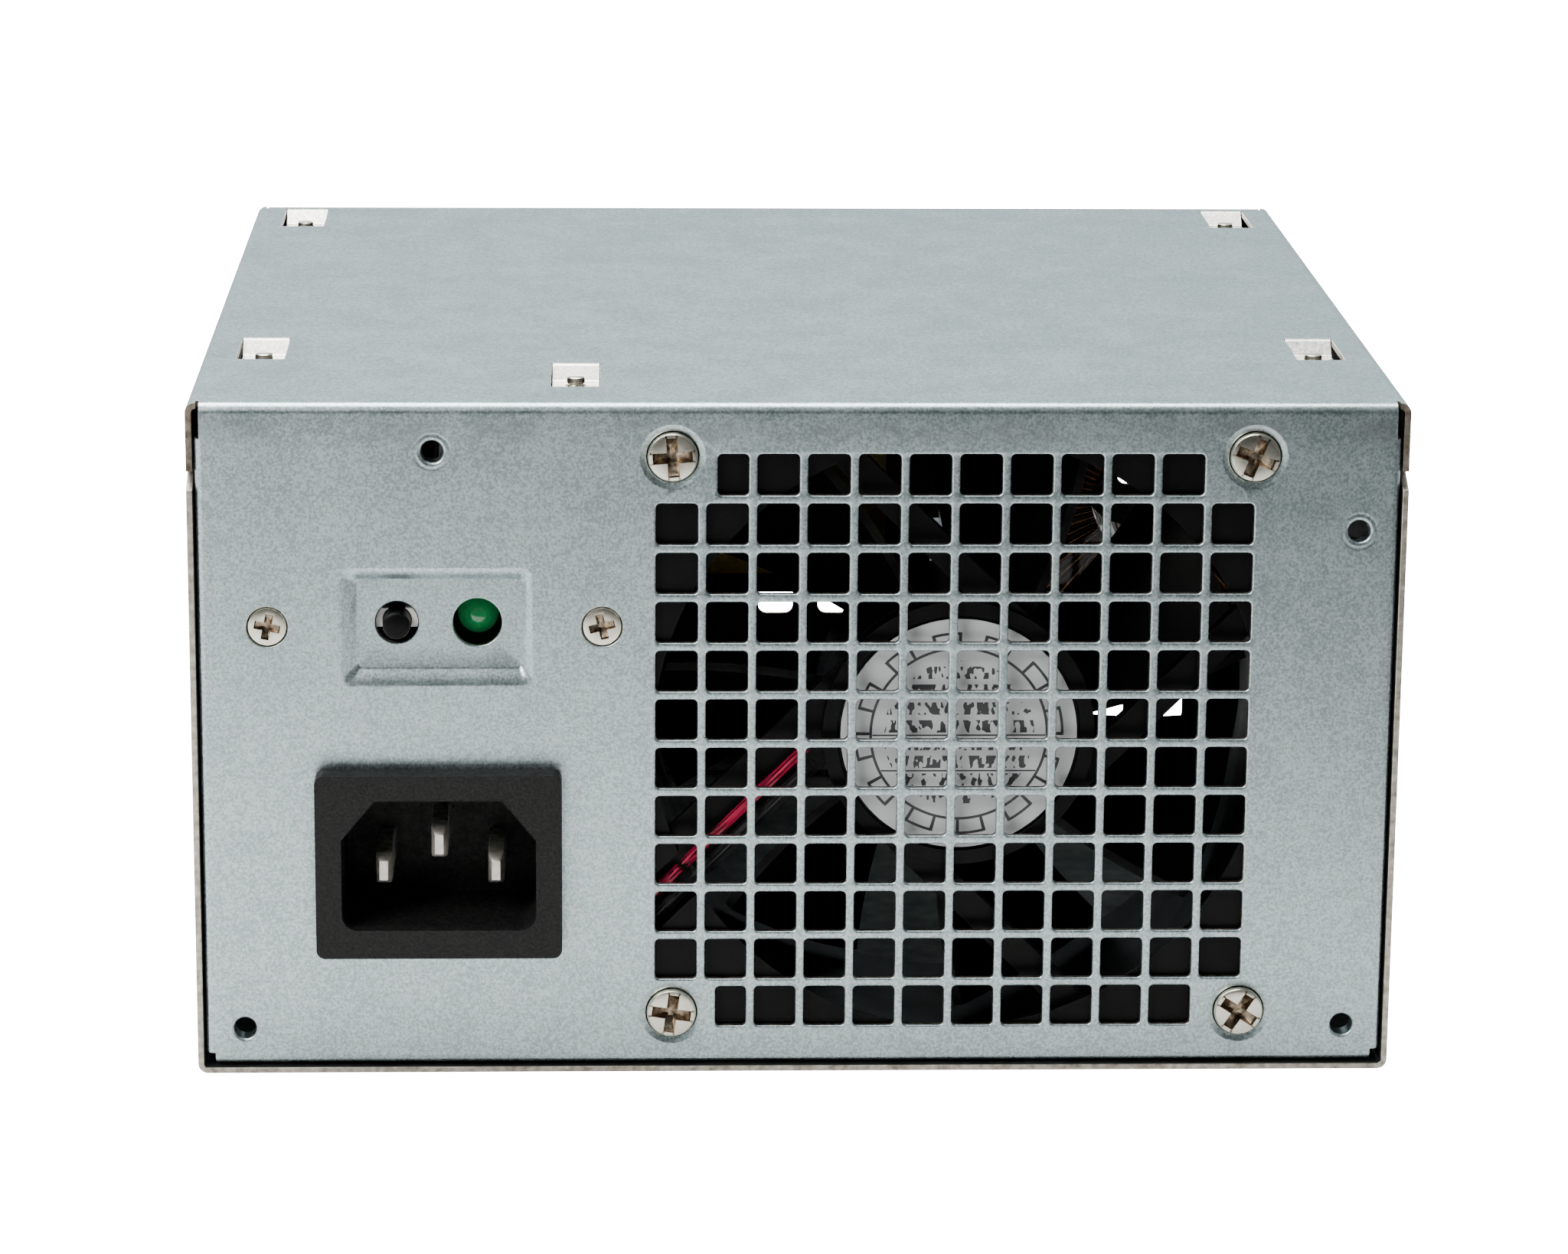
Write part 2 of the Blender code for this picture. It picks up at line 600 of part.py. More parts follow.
def make_fan_motor():
    """The parts inside the hub that don't turn."""
    centre = (FAN_X, FAN_Z)
    label = bmesh.new()
    add_prism(label, circle(*centre, LABEL_RADIUS, 32), "Y", HUB_FRONT - GAP - 0.2, HUB_FRONT - GAP)
    add_object("fan_label", label, PAPER)

    bearing = bmesh.new()
    bore = SHAFT_RADIUS + GAP
    profile = [(bore, HUB_BACK), (BEARING_RADIUS, HUB_BACK), (BEARING_RADIUS, -49.8), (bore, -49.8)]
    add_turned(bearing, profile, "Y", centre, 16)
    add_object("fan_bearing", bearing, STEEL)

    board = bmesh.new()
    profile = [(BOSS_RADIUS + 0.4, -64.3), (14.0, -64.3), (14.0, -63.1), (BOSS_RADIUS + 0.4, -63.1)]
    add_turned(board, profile, "Y", centre, 24)
    add_object("fan_circuit_board", board, FIBREGLASS)

    core = bmesh.new()
    outline = []
    for pole in range(4):
        middle = math.pi / 2 * pole
        shoe = [(12.9, spread) for spread in (-0.6, -0.3, 0.0, 0.3, 0.6)]
        pole_edge = [(8.0, -0.28), (11.3, -0.2), (11.3, -0.6), *shoe]
        pole_edge += [(11.3, 0.6), (11.3, 0.2), (8.0, 0.28)]
        for radius, spread in pole_edge:
            turn = middle + spread
            outline.append((FAN_X + radius * math.cos(turn), FAN_Z + radius * math.sin(turn)))
    add_prism(core, outline, "Y", -61.0, -51.5)
    stator = add_object("fan_stator", core, STEEL)
    bore = bmesh.new()
    add_prism(bore, circle(*centre, BOSS_RADIUS + GAP, 24), "Y", -62.0, -50.5)
    combine(stator, "DIFFERENCE", bore)

    coils = bmesh.new()
    for reach in ((8.9, 11.0), (-11.0, -8.9)):
        add_box(coils, [FAN_X + r for r in reach], (-62.7, -49.8), (FAN_Z - 4.2, FAN_Z + 4.2))
        add_box(coils, (FAN_X - 4.2, FAN_X + 4.2), (-62.7, -49.8), [FAN_Z + r for r in reach])
    combine(stator, "UNION", coils)


def blade(bm, middle):
    """One swept and twisted blade, from inside the rotor cup's wall to its tip."""
    radii = (HUB_RADIUS - 0.6, 24.0, 31.0, BLADE_TIP)
    rows = []
    for side in (-0.5, 0.5):
        for step in range(5):
            share = step / 4
            depth = ROTOR_FRONT + 1.2 + share * (ROTOR_REAR - ROTOR_FRONT - 2.4)
            row = []
            for radius in radii:
                sweep = 0.24 * (radius - HUB_RADIUS) / BLADE_TIP
                turn = middle + sweep + (share - 0.5) * BLADE_CHORD + side * BLADE_THICKNESS / radius * 1.3
                place = (FAN_X + radius * math.cos(turn), depth, FAN_Z + radius * math.sin(turn))
                row.append(bm.verts.new(place))
            rows.append(row)
    front, back = rows[:5], rows[5:]
    for skin in (front, back):
        for one, two in zip(skin, skin[1:]):
            for a, b in zip(range(3), range(1, 4)):
                bm.faces.new((one[a], one[b], two[b], two[a]))
    rim = [(0, a) for a in range(4)] + [(s, 3) for s in range(1, 5)]
    rim += [(4, a) for a in (2, 1, 0)] + [(s, 0) for s in (3, 2, 1)]
    for (s0, a0), (s1, a1) in zip(rim, rim[1:] + rim[:1]):
        bm.faces.new((front[s0][a0], front[s1][a1], back[s1][a1], back[s0][a0]))


def make_fan_rotor():
    """Impeller with its magnet ring and shaft; all three turn about the fan's axis."""
    centre, origin = (FAN_X, FAN_Z), (FAN_X, (ROTOR_FRONT + ROTOR_REAR) / 2, FAN_Z)
    cup = bmesh.new()
    wall = 1.3
    profile = [(0.0, ROTOR_REAR), (HUB_RADIUS - 1.0, ROTOR_REAR), (HUB_RADIUS, ROTOR_REAR - 1.0)]
    hollow = HUB_RADIUS - wall
    profile += [(HUB_RADIUS, ROTOR_FRONT), (hollow, ROTOR_FRONT)]
    profile += [(hollow, ROTOR_REAR - 1.5), (0.0, ROTOR_REAR - 1.5)]
    add_turned(cup, profile, "Y", centre, 28)
    rotor = add_object("fan_rotor", cup, BLACK_PLASTIC, origin)
    blades = bmesh.new()
    for number in range(BLADE_COUNT):
        blade(blades, FIRST_BLADE + 2 * math.pi * number / BLADE_COUNT)
    combine(rotor, "UNION", blades)

    magnet = bmesh.new()
    inner, outer = 13.5, HUB_RADIUS - wall - GAP
    add_turned(magnet, [(inner, -62.0), (outer, -62.0), (outer, -47.5), (inner, -47.5)], "Y", centre, 32)
    add_object("fan_magnet", magnet, FERRITE, origin)
    shaft = bmesh.new()
    add_prism(shaft, circle(*centre, SHAFT_RADIUS, 12), "Y", HUB_BACK - 0.2, ROTOR_REAR - 1.5 - GAP)
    add_object("fan_shaft", shaft, STEEL, origin)


def make_fan_screws():
    """Four pan-head screws that hold the fan behind the grille."""
    profile = [(0.0, FRONT - 0.6), (2.2, FRONT - 0.5), (3.1, FRONT + 0.1), (3.1, FRONT + 0.7)]
    profile += [(1.8, FRONT + 0.7), (1.8, FRONT + 7.0), (0.0, FRONT + 7.0)]
    add_screws("fan_screw", fan_screw_places(), profile, "Y")


def fan_plug_span():
    """X and Y span of the fan's plug and of the header above it."""
    return (PLUG_X - 3.0, PLUG_X + 3.0), (PLUG_Y - 2.5, PLUG_Y + 2.5)


def make_fan_leads():
    """Red and black leads from the hub over the lead strut, round the frame to the board."""
    leads = (("fan_lead_red", 12.2, -1.2, RED_WIRE), ("fan_lead_black", 10.2, 1.2, BLACK_PLASTIC))
    for name, offset, shift, finish in leads:
        turn = math.radians(LEAD_STRUT)
        depth = HUB_FRONT - 0.1
        start = math.sqrt((HUB_RADIUS + 1.4) ** 2 - offset**2)
        route = []
        for along in (start, start + 8.0, start + 16.0, start + 24.0, 42.0, 48.0):
            (x, z), *_ = strut_outline(turn, offset, offset, along, along)
            route.append((x, depth, z))
        edge_x, _, edge_z = route[-1]
        route += [(edge_x - 1.2, depth + 2.4, edge_z - 1.0), (edge_x - 1.2, -58.0, edge_z - 1.0)]
        x = PLUG_X + shift
        route += [(x, -47.0, 22.0), (x, -41.0, 32.0), (x, PLUG_Y, 44.0)]
        route += [(PLUG_X + shift, PLUG_Y, 66.0 - GAP)]
        add_lead(name, route, 0.7, finish)
    plug = bmesh.new()
    add_box(plug, *fan_plug_span(), (66.0, 73.7))
    add_object("fan_plug", plug, WHITE_PLASTIC)


# ---- mains inlet -----------------------------------------------------------------------
def make_inlet():
    """Three-pin mains inlet: moulded housing and its blades."""
    wide, tall, thick = INLET_FLANGE
    shell = bmesh.new()
    sides = (INLET_X - wide / 2, INLET_X + wide / 2, INLET_Z - tall / 2, INLET_Z + tall / 2)
    outline = round_rectangle(*sides, 1.0, 3)
    add_prism(shell, outline, "Y", INLET_FACE, INLET_FACE + thick)
    housing = add_object("inlet_housing", shell, BLACK_PLASTIC)
    body = bmesh.new()
    half_x, half_z = INLET_BODY[0] / 2, INLET_BODY[1] / 2
    across, up = (INLET_X - half_x, INLET_X + half_x), (INLET_Z - half_z, INLET_Z + half_z)
    add_box(body, across, (INLET_FACE + 1.0, INLET_BACK), up)
    combine(housing, "UNION", body)
    barbs = bmesh.new()
    for side in (-1, 1):
        wall = INLET_X + side * half_x
        start = INSIDE_FRONT + GAP
        barb = [(wall - side * 0.5, start), (wall + side * 1.4, start), (wall - side * 0.5, -62.0)]
        add_prism(barbs, barb, "Z", INLET_Z - 4.0, INLET_Z + 4.0)
    combine(housing, "UNION", barbs)

    hollow = bmesh.new()
    left, right, low, high = INLET_X - 12.05, INLET_X + 12.05, INLET_Z - 8.15, INLET_Z + 8.6
    outline = [(left + 2.0, low), (right - 2.0, low), (right - 0.6, low + 0.6), (right, low + 2.0)]
    outline += [(right, high - 5.1), (right - 4.2, high), (left + 4.2, high), (left, high - 5.1)]
    outline += [(left, low + 2.0), (left + 0.6, low + 0.6)]
    add_prism(hollow, outline, "Y", INLET_FACE - 1.0, INLET_FACE + SOCKET_DEPTH)
    combine(housing, "DIFFERENCE", hollow)
    slots = bmesh.new()
    for _, x, z, _ in PINS:
        half_x, half_z = PIN_SECTION[0] / 2 + GAP, PIN_SECTION[1] / 2 + GAP
        depth = (INLET_FACE + SOCKET_DEPTH - 1.0, INLET_BACK + 1.0)
        add_box(slots, (x - half_x, x + half_x), depth, (z - half_z, z + half_z))
    combine(housing, "DIFFERENCE", slots)

    for name, x, z, tip in PINS:
        pin = bmesh.new()
        half_x, half_z = PIN_SECTION[0] / 2, PIN_SECTION[1] / 2
        stations = [(tip, 0.5, 0.65), (tip + 1.6, 1.0, 1.0), (INLET_BACK + 0.8, 1.0, 1.0)]
        stations += [(INLET_BACK + 0.9, 0.4, 0.7), (PIN_TAIL, 0.4, 0.7)]
        rings = []
        for y, share_x, share_z in stations:
            wide, tall = half_x * share_x, half_z * share_z
            outline = rectangle(x - wide, x + wide, z - tall, z + tall)
            rings.append([point("Y", u, v, y) for u, v in outline])
        add_loft(pin, rings)
        add_object(name, pin, NICKEL)


def make_inlet_leads():
    """The three leads from the inlet's tails up to the board."""
    tail = PIN_TAIL + 4 * GAP
    line, neutral, earth = PINS
    # Each lead: name, its pin, places on the way up, finish
    leads = [
        ("line_lead", line,
         [(-49.0, -43.0, 36.0), (-46.6, -45.0, 55.0), (-46.6, -45.5, 70.0)], BROWN_WIRE),
        ("neutral_lead", neutral,
         [(-36.5, -43.0, 36.0), (-36.0, -45.0, 55.0), (-36.0, -45.5, 70.0)], BLUE_WIRE),
        ("earth_lead", earth,
         [(-42.5, -43.0, 42.0), (-41.3, -45.0, 58.0), (-41.3, -45.5, 70.0)], GREEN_WIRE),
    ]
    for name, (_, x, z, _), places, finish in leads:
        start = [(x, tail, z), (x, tail + 3.0, z)]
        end = (places[-1][0], places[-1][1], PARTS_HIGH)
        add_lead(name, [*start, *places, end], 1.1, finish)


# ---- test button and lamp ---------------------------------------------------------------
def make_status_unit():
    """Bracket, small board, key switch, its button and the lamp behind the dished pad."""
    foot, back = INSIDE_FRONT + GAP, STATUS_BOARD_Y[1] + GAP
    sheet = 0.8
    left_leg, right_leg = -59.5, -30.3
    outline = [(-70.0, foot), (left_leg + sheet, foot), (left_leg + sheet, back), (right_leg - sheet, back)]
    outline += [(right_leg - sheet, foot), (-21.0, foot), (-21.0, foot + sheet), (right_leg, foot + sheet)]
    outline += [(right_leg, back + sheet), (left_leg, back + sheet)]
    outline += [(left_leg, foot + sheet), (-70.0, foot + sheet)]
    strip = bmesh.new()
    add_prism(strip, outline, "Z", 51.0, 65.0)
    bracket = add_object("status_bracket", strip, GALVANISED)
    holes = bmesh.new()
    for x, z in BRACKET_SCREWS:
        add_prism(holes, circle(x, z, 1.6, 12), "Y", foot - 0.5, foot + sheet + 0.5)
    combine(bracket, "DIFFERENCE", holes)

    profile = screw_profile(2.5, FRONT - 0.1, INSIDE_FRONT, 1.3, -63.5)
    add_screws("bracket_screw", BRACKET_SCREWS, profile, "Y")

    board = bmesh.new()
    add_box(board, (-57.5, -32.5), STATUS_BOARD_Y, (52.5, 64.0))
    add_object("status_board", board, FIBREGLASS)

    mount = STATUS_BOARD_Y[0] - GAP
    body = bmesh.new()
    add_box(body, (BUTTON_X - 3.0, BUTTON_X + 3.0), (mount - 3.4, mount), (STATUS_Z - 3.0, STATUS_Z + 3.0))
    switch = add_object("switch_body", body, BLACK_PLASTIC)
    well = bmesh.new()
    add_prism(well, circle(BUTTON_X, STATUS_Z, BUTTON_RADIUS + GAP, 16), "Y", mount - 4.0, mount - 1.4)
    combine(switch, "DIFFERENCE", well)

    key = bmesh.new()
    profile = [(0.0, BUTTON_TIP), (BUTTON_RADIUS - 0.4, BUTTON_TIP), (BUTTON_RADIUS, BUTTON_TIP + 0.4)]
    profile += [(BUTTON_RADIUS, mount - 2.3), (0.0, mount - 2.3)]
    add_turned(key, profile, "Y", (BUTTON_X, STATUS_Z), 20)
    add_object("test_button", key, BLACK_PLASTIC, (BUTTON_X, BUTTON_TIP, STATUS_Z))

    lamp = bmesh.new()
    dome = LAMP_TIP + LAMP_RADIUS
    turns = [math.pi / 8 * s for s in range(5)]
    profile = [(LAMP_RADIUS * math.sin(t), dome - LAMP_RADIUS * math.cos(t)) for t in turns]
    collar = LAMP_RADIUS + 0.4
    profile += [(LAMP_RADIUS, mount - 1.0), (collar, mount - 1.0), (collar, mount), (0.0, mount)]
    profile[0] = (0.0, LAMP_TIP)
    add_turned(lamp, profile, "Y", (LAMP_X, STATUS_Z), 20)
    add_object("status_led", lamp, GREEN_LENS)

    route = [(-53.0, -56.5, 64.0 + GAP), (-53.2, -56.5, 72.0), (-52.5, -56.0, PARTS_HIGH)]
    add_lead("status_lead", route, 0.9, BLACK_PLASTIC)


# ---- circuit board and what hangs from it --------------------------------------------------
def board_screw_places():
    """The screws that hold the board to the tray's tabs."""
    return [(middle, far - screw) for middle, _, far, screw in WINDOWS]


def make_board():
    """Main board with the fan's header, its screws and the film over it."""
    outline = [(-71.0, -66.0), (-21.5, -66.0), (-21.5, -42.0), (71.0, -42.0), (71.0, 66.0), (-71.0, 66.0)]
    plate = bmesh.new()
    add_prism(plate, outline, "Z", BOARD_LOW, BOARD_HIGH)
    board = add_object("main_board", plate, FIBREGLASS)
    header = bmesh.new()
    add_box(header, *fan_plug_span(), (73.7 + GAP, BOARD_LOW + 0.5))
    combine(board, "UNION", header)
    holes = bmesh.new()
    for centre in board_screw_places():
        clearance = circle(*centre, BOARD_SCREW_RADIUS + GAP, 12)
        add_prism(holes, clearance, "Z", BOARD_LOW - 0.5, BOARD_HIGH + 0.5)
    combine(board, "DIFFERENCE", holes)
    profile = screw_profile(3.0, PARTS_HIGH - 1.8, PARTS_HIGH, BOARD_SCREW_RADIUS, TRAY_Z - 0.4)
    add_screws("board_screw", board_screw_places(), profile, "Z")
    film = bmesh.new()
    add_box(film, (-63.0, 63.0), (-41.0, 52.0), (84.5, 84.8))
    add_object("insulating_film", film, CLEAR_FILM)


def add_can(bm, x, y, radius, length, segments):
    """A capacitor can that hangs under the board."""
    low = PARTS_HIGH - length
    profile = [(0.0, low), (radius - 1.0, low), (radius, low + 1.0)]
    profile += [(radius, PARTS_HIGH), (0.0, PARTS_HIGH)]
    add_turned(bm, profile, "Z", (x, y), segments)


def make_can_group(name, places, radius, length, segments):
    """Capacitors held together by a bead of glue at the board."""
    xs, ys = [x for x, _ in places], [y for _, y in places]
    glue = bmesh.new()
    across, along = (min(xs) - 1.5, max(xs) + 1.5), (min(ys) - 1.5, max(ys) + 1.5)
    add_box(glue, across, along, (PARTS_HIGH - 3.0, PARTS_HIGH - 0.5))
    group = add_object(name, glue, BLUE_SLEEVE)
    cans = bmesh.new()
    for x, y in places:
        add_can(cans, x, y, radius, length, segments)
    combine(group, "UNION", cans)


def make_capacitors():
    """Mains-side and output-side capacitors."""
    make_can_group("bulk_capacitors", [(-57.0, y) for y in (-21.0, 3.0)], 11.0, 36.0, 24)
    places = [(x, y) for x in (42.0, 55.0) for y in (14.0, 26.0, 38.0, 50.0)]
    make_can_group("output_capacitors", places, 5.0, 24.0, 12)
    film = bmesh.new()
    add_box(film, (-70.0, -56.0), (-62.0, -52.5), (68.0, PARTS_HIGH))
    add_object("mains_capacitor", film, YELLOW_TAPE)


def make_transformer(name, centre, size, legs, winding, separate=True):
    """A ferrite core with two windows and the taped winding on its middle leg.

    size is the core's width, thickness and height; legs is the middle leg's width, the
    side legs' width and the yokes' height; winding is the winding's depth. A small one that
    isn't separate is one solid.
    """
    (x, y), (width, thick, height), (middle, side, yoke) = centre, size, legs
    low = PARTS_HIGH - height
    core = bmesh.new()
    add_box(core, (x - width / 2, x + width / 2), (y - thick / 2, y + thick / 2), (low, PARTS_HIGH))
    core = add_object(name + ("_core" if separate else ""), core, FERRITE)
    window_x, window_z = (middle / 2, width / 2 - side), (low + yoke, PARTS_HIGH - yoke)
    windows = bmesh.new()
    for sign in (-1, 1):
        span = sorted(x + sign * w for w in window_x)
        add_box(windows, span, (y - thick, y + thick), window_z)
    combine(core, "DIFFERENCE", windows)

    wound = bmesh.new()
    if not separate:
        reach = window_x[1] + 0.5
        along = (y - winding / 2, y + winding / 2)
        add_box(wound, (x - reach, x + reach), along, (window_z[0] - 0.5, window_z[1] + 0.5))
        combine(core, "UNION", wound)
        return
    reach = window_x[1] - GAP
    outer = rectangle(x - reach, x + reach, y - winding / 2, y + winding / 2)
    half_x, half_y = middle / 2 + GAP, thick / 2 + GAP
    inner = rectangle(x - half_x, x + half_x, y - half_y, y + half_y)
    add_ring_prism(wound, outer, inner, lambda u, v, h: (u, v, h), window_z[0] + GAP, window_z[1] - GAP)
    add_object(name + "_winding", wound, YELLOW_TAPE)


def make_toroid(name, centre, ring, wall, arcs, finishes):
    """A ring core standing across the air flow, with its windings as hollow arcs.

    ring is the core's inner radius, outer radius and half thickness. With one finish the
    core and its windings are one solid, with two the winding is a part of its own.
    """
    x, y, z = centre
    inner, outer, half = ring
    core = bmesh.new()
    profile = [(inner, y - half), (outer, y - half), (outer, y + half), (inner, y + half)]
    add_turned(core, profile, "Y", (x, z), 28)
    separate = len(finishes) > 1
    core = add_object(name + ("_core" if separate else ""), core, finishes[0])
    wound = bmesh.new()
    room = 2 * GAP if separate else -2 * GAP
    for start, sweep in arcs:
        reach = (inner - room, outer + room, half + room)
        first, turned = math.radians(start), math.radians(sweep)
        add_wound_arc(wound, centre, reach, wall, first, turned, round(sweep / 14))
    if separate:
        add_object(name + "_winding", wound, finishes[1])
    else:
        combine(core, "UNION", wound)


def heatsink_outline(plate, fins, fin_reach):
    """An upright plate with level fins on one side, seen along the air flow."""
    near, far = plate
    tip = far + fin_reach if fin_reach > 0 else near + fin_reach
    wall = far if fin_reach > 0 else near
    other = near if fin_reach > 0 else far
    outline = [(other, PARTS_HIGH), (other, HEATSINK_LOW)]
    for low in fins:
        if low > HEATSINK_LOW:
            outline.append((wall, low))
        outline += [(tip, low), (tip, low + 1.6), (wall, low + 1.6)]
    outline.append((wall, PARTS_HIGH))
    return outline


def make_power_stage():
    """Heatsinks, and the transistors and rectifiers on their insulating strips."""
    # Each side: heatsink, devices, plate, fin reach, facing, y span, device places
    sides = [
        ("primary_heatsink", "power_transistors",
         (-35.0, -32.0), 10.0, -1, (-34.0, 22.0), (-2.0, 14.0)),
        ("secondary_heatsink", "output_rectifiers",
         (24.0, 27.0), -12.0, 1, (-34.0, 32.0), (-25.0, 10.0, 23.0)),
    ]
    tab_low, body_low, body_high = (PARTS_HIGH - drop for drop in (20.5, 13.5, 4.5))
    for sink_name, devices_name, plate, reach, facing, span, places in sides:
        fins = bmesh.new()
        add_prism(fins, heatsink_outline(plate, (HEATSINK_LOW, 38.0, 46.0), reach), "Y", *span)
        add_object(sink_name, fins, ALUMINIUM)
        wall = plate[0] if facing < 0 else plate[1]
        near, strip_face, tab, body = (wall + facing * d for d in (GAP, GAP + 0.5, GAP + 1.8, GAP + 5.0))
        strip = bmesh.new()
        along = (places[0] - 7.0, places[-1] + 7.0)
        add_box(strip, sorted((near, strip_face)), along, (tab_low - 1.0, body_high + 1.0))
        group = add_object(devices_name, strip, BLACK_PLASTIC)
        devices = bmesh.new()
        start = near + facing * 0.2
        for y in places:
            outline = [(start, tab_low), (tab, tab_low), (tab, body_low)]
            outline += [(body, body_low), (body, body_high), (start, body_high)]
            add_prism(devices, outline, "Y", y - 5.0, y + 5.0)
        combine(group, "UNION", devices)
        legs = bmesh.new()
        leg_x = sorted((wall + facing * 2.6, wall + facing * 3.2))
        for y in places:
            for shift in (-2.5, 0.0, 2.5):
                add_box(legs, leg_x, (y + shift - 0.4, y + shift + 0.4), (body_high - 0.5, PARTS_HIGH))
        combine(group, "UNION", legs)


def make_small_parts():
    """Fuse, bridge rectifier and the upright control board with its chip."""
    fuse = bmesh.new()
    profile = [(0.0, -44.0), (2.6, -44.0), (2.6, -38.5), (2.3, -38.5)]
    profile += [(2.3, -29.5), (2.6, -29.5), (2.6, -24.0), (0.0, -24.0)]
    add_turned(fuse, profile, "X", (-61.5, PARTS_HIGH - 4.0), 16)
    add_object("mains_fuse", fuse, WHITE_PLASTIC)
    bridge = bmesh.new()
    add_box(bridge, (-44.5, -41.0), (-40.0, -18.0), (PARTS_HIGH - 18.0, PARTS_HIGH))
    add_object("bridge_rectifier", bridge, BLACK_PLASTIC)
    control = bmesh.new()
    add_box(control, (-12.0, 18.0), (40.0, 41.6), (56.0, PARTS_HIGH))
    board = add_object("control_board", control, FIBREGLASS)
    chip = bmesh.new()
    add_box(chip, (-4.0, 6.0), (38.0, 40.5), (62.0, 70.0))
    combine(board, "UNION", chip)


def make_cable_bushing():
    """Snap-in ring that lines the cable outlet."""
    ring = bmesh.new()
    bore, neck = OUTLET_RADIUS - 2.0, OUTLET_RADIUS - GAP
    lip, flange = OUTLET_RADIUS + 1.2, OUTLET_RADIUS + 3.0
    face = REAR + GAP + INLET_FLANGE[2]
    behind = INSIDE_REAR - GAP
    profile = [(bore, behind - 3.0), (neck, behind - 3.0), (lip, behind - 1.2), (lip, behind)]
    profile += [(neck, behind), (neck, REAR + GAP), (flange, REAR + GAP)]
    profile += [(flange, face - 1.0), (flange - 1.0, face), (bore, face)]
    add_turned(ring, profile, "Y", (OUTLET_X, OUTLET_Z), 32)
    add_object("cable_bushing", ring, BLACK_PLASTIC)


def main():
    for item in list(bpy.data.objects):
        bpy.data.objects.remove(item, do_unlink=True)
    make_chassis()
    make_cover()
    make_fan_frame()
    make_fan_motor()
    make_fan_rotor()
    make_fan_screws()
    make_fan_leads()
    make_inlet()
    make_inlet_leads()
    make_status_unit()
    make_board()
    make_capacitors()
    make_transformer("main_transformer", (0.0, -19.0), (38.0, 12.0, 30.0), (10.0, 6.0, 4.0), 26.0)
    make_transformer("standby_transformer", (0.0, 14.0), (20.0, 6.0, 17.0), (5.0, 3.0, 2.5), 14.0, False)
    toroid = (TOROID_X, TOROID_Y, TOROID_Z)
    make_toroid("output_inductor", toroid, (9.0, 16.0, 5.5), 1.4, [(-60, 320)], (YELLOW_TAPE, COPPER))
    choke = (-60.0, -44.0, PARTS_HIGH - 10.5)
    make_toroid("mains_choke", choke, (5.0, 8.6, 3.2), 1.2, [(-65, 130), (115, 130)], (COPPER,))
    make_power_stage()
    make_small_parts()
    make_cable_bushing()


main()
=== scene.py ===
import math

import bmesh
import bpy
from mathutils import Matrix, Vector
from mathutils.geometry import delaunay_2d_cdt


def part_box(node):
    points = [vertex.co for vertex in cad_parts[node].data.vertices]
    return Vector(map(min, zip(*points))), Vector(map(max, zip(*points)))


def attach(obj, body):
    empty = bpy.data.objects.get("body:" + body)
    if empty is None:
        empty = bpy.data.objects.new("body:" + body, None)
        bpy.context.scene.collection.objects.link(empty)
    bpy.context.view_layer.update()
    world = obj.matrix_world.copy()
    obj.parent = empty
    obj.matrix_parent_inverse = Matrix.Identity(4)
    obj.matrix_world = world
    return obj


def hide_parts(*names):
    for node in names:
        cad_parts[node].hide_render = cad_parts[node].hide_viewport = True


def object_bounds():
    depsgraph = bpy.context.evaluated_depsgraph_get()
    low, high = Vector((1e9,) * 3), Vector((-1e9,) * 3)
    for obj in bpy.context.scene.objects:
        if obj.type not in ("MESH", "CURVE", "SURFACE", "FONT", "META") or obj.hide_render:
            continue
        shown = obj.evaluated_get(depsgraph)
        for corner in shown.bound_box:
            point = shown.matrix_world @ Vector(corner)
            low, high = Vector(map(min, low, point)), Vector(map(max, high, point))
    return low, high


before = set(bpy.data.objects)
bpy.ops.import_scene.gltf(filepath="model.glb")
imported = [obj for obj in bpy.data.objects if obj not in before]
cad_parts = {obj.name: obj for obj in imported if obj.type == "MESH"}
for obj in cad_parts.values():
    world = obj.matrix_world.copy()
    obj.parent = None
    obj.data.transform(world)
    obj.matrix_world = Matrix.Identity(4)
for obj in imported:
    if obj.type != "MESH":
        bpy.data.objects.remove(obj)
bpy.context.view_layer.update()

# Lengths in this script are in millimetres; MM turns them into the frame's metres.
MM = 0.001
SHEET = 0.8
# INNER is the slot of the sheet's inner skin, which gets a much darker steel as painted shade.
RIM, RAW, INNER = 0, 1, 2


def span(node):
    """Lowest and highest corner of a CAD node."""
    return tuple(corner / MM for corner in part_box(node))


def middle(node):
    low, high = span(node)
    return (low + high) / 2


# ---- measured from the frame -------------------------------------------------------------
case_low, case_high = span("chassis")
FRONT, REAR, TOP, HALF = case_low.y, case_high.y, case_high.z, case_high.x
FAN = middle("fan_frame")
INLET = middle("inlet_housing")
BUTTON = middle("test_button")
LAMP = middle("status_led")
OUTLET = middle("cable_bushing")
# Each window in the tray: middle x, front edge y, rear edge y
WINDOWS = [
    (-67.5, -43.0, -29.0),
    (67.5, -43.0, -29.0),
    (-27.5, -59.8, -45.2),
    (-67.5, 53.0, 67.6),
    (67.5, 53.0, 67.6),
]


# ---- shapes ------------------------------------------------------------------------------
def point(axis, u, v, height):
    """A place from two cross coordinates and one along the axis."""
    return {"X": (height, u, v), "Y": (u, height, v), "Z": (u, v, height)}[axis]


def circle(u, v, radius, segments=48):
    turns = [2 * math.pi * s / segments for s in range(segments)]
    return [(u + radius * math.cos(t), v + radius * math.sin(t)) for t in turns]


def round_rectangle(u, v, half_u, half_v, radius, steps=4):
    """A rectangle about (u, v) with quarter-round corners."""
    points = []
    for quarter, (a, b) in enumerate(((1, 1), (-1, 1), (-1, -1), (1, -1))):
        for step in range(steps + 1):
            t = math.pi / 2 * (quarter + step / steps)
            points.append((u + a * (half_u - radius) + radius * math.cos(t),
                           v + b * (half_v - radius) + radius * math.sin(t)))
    return points


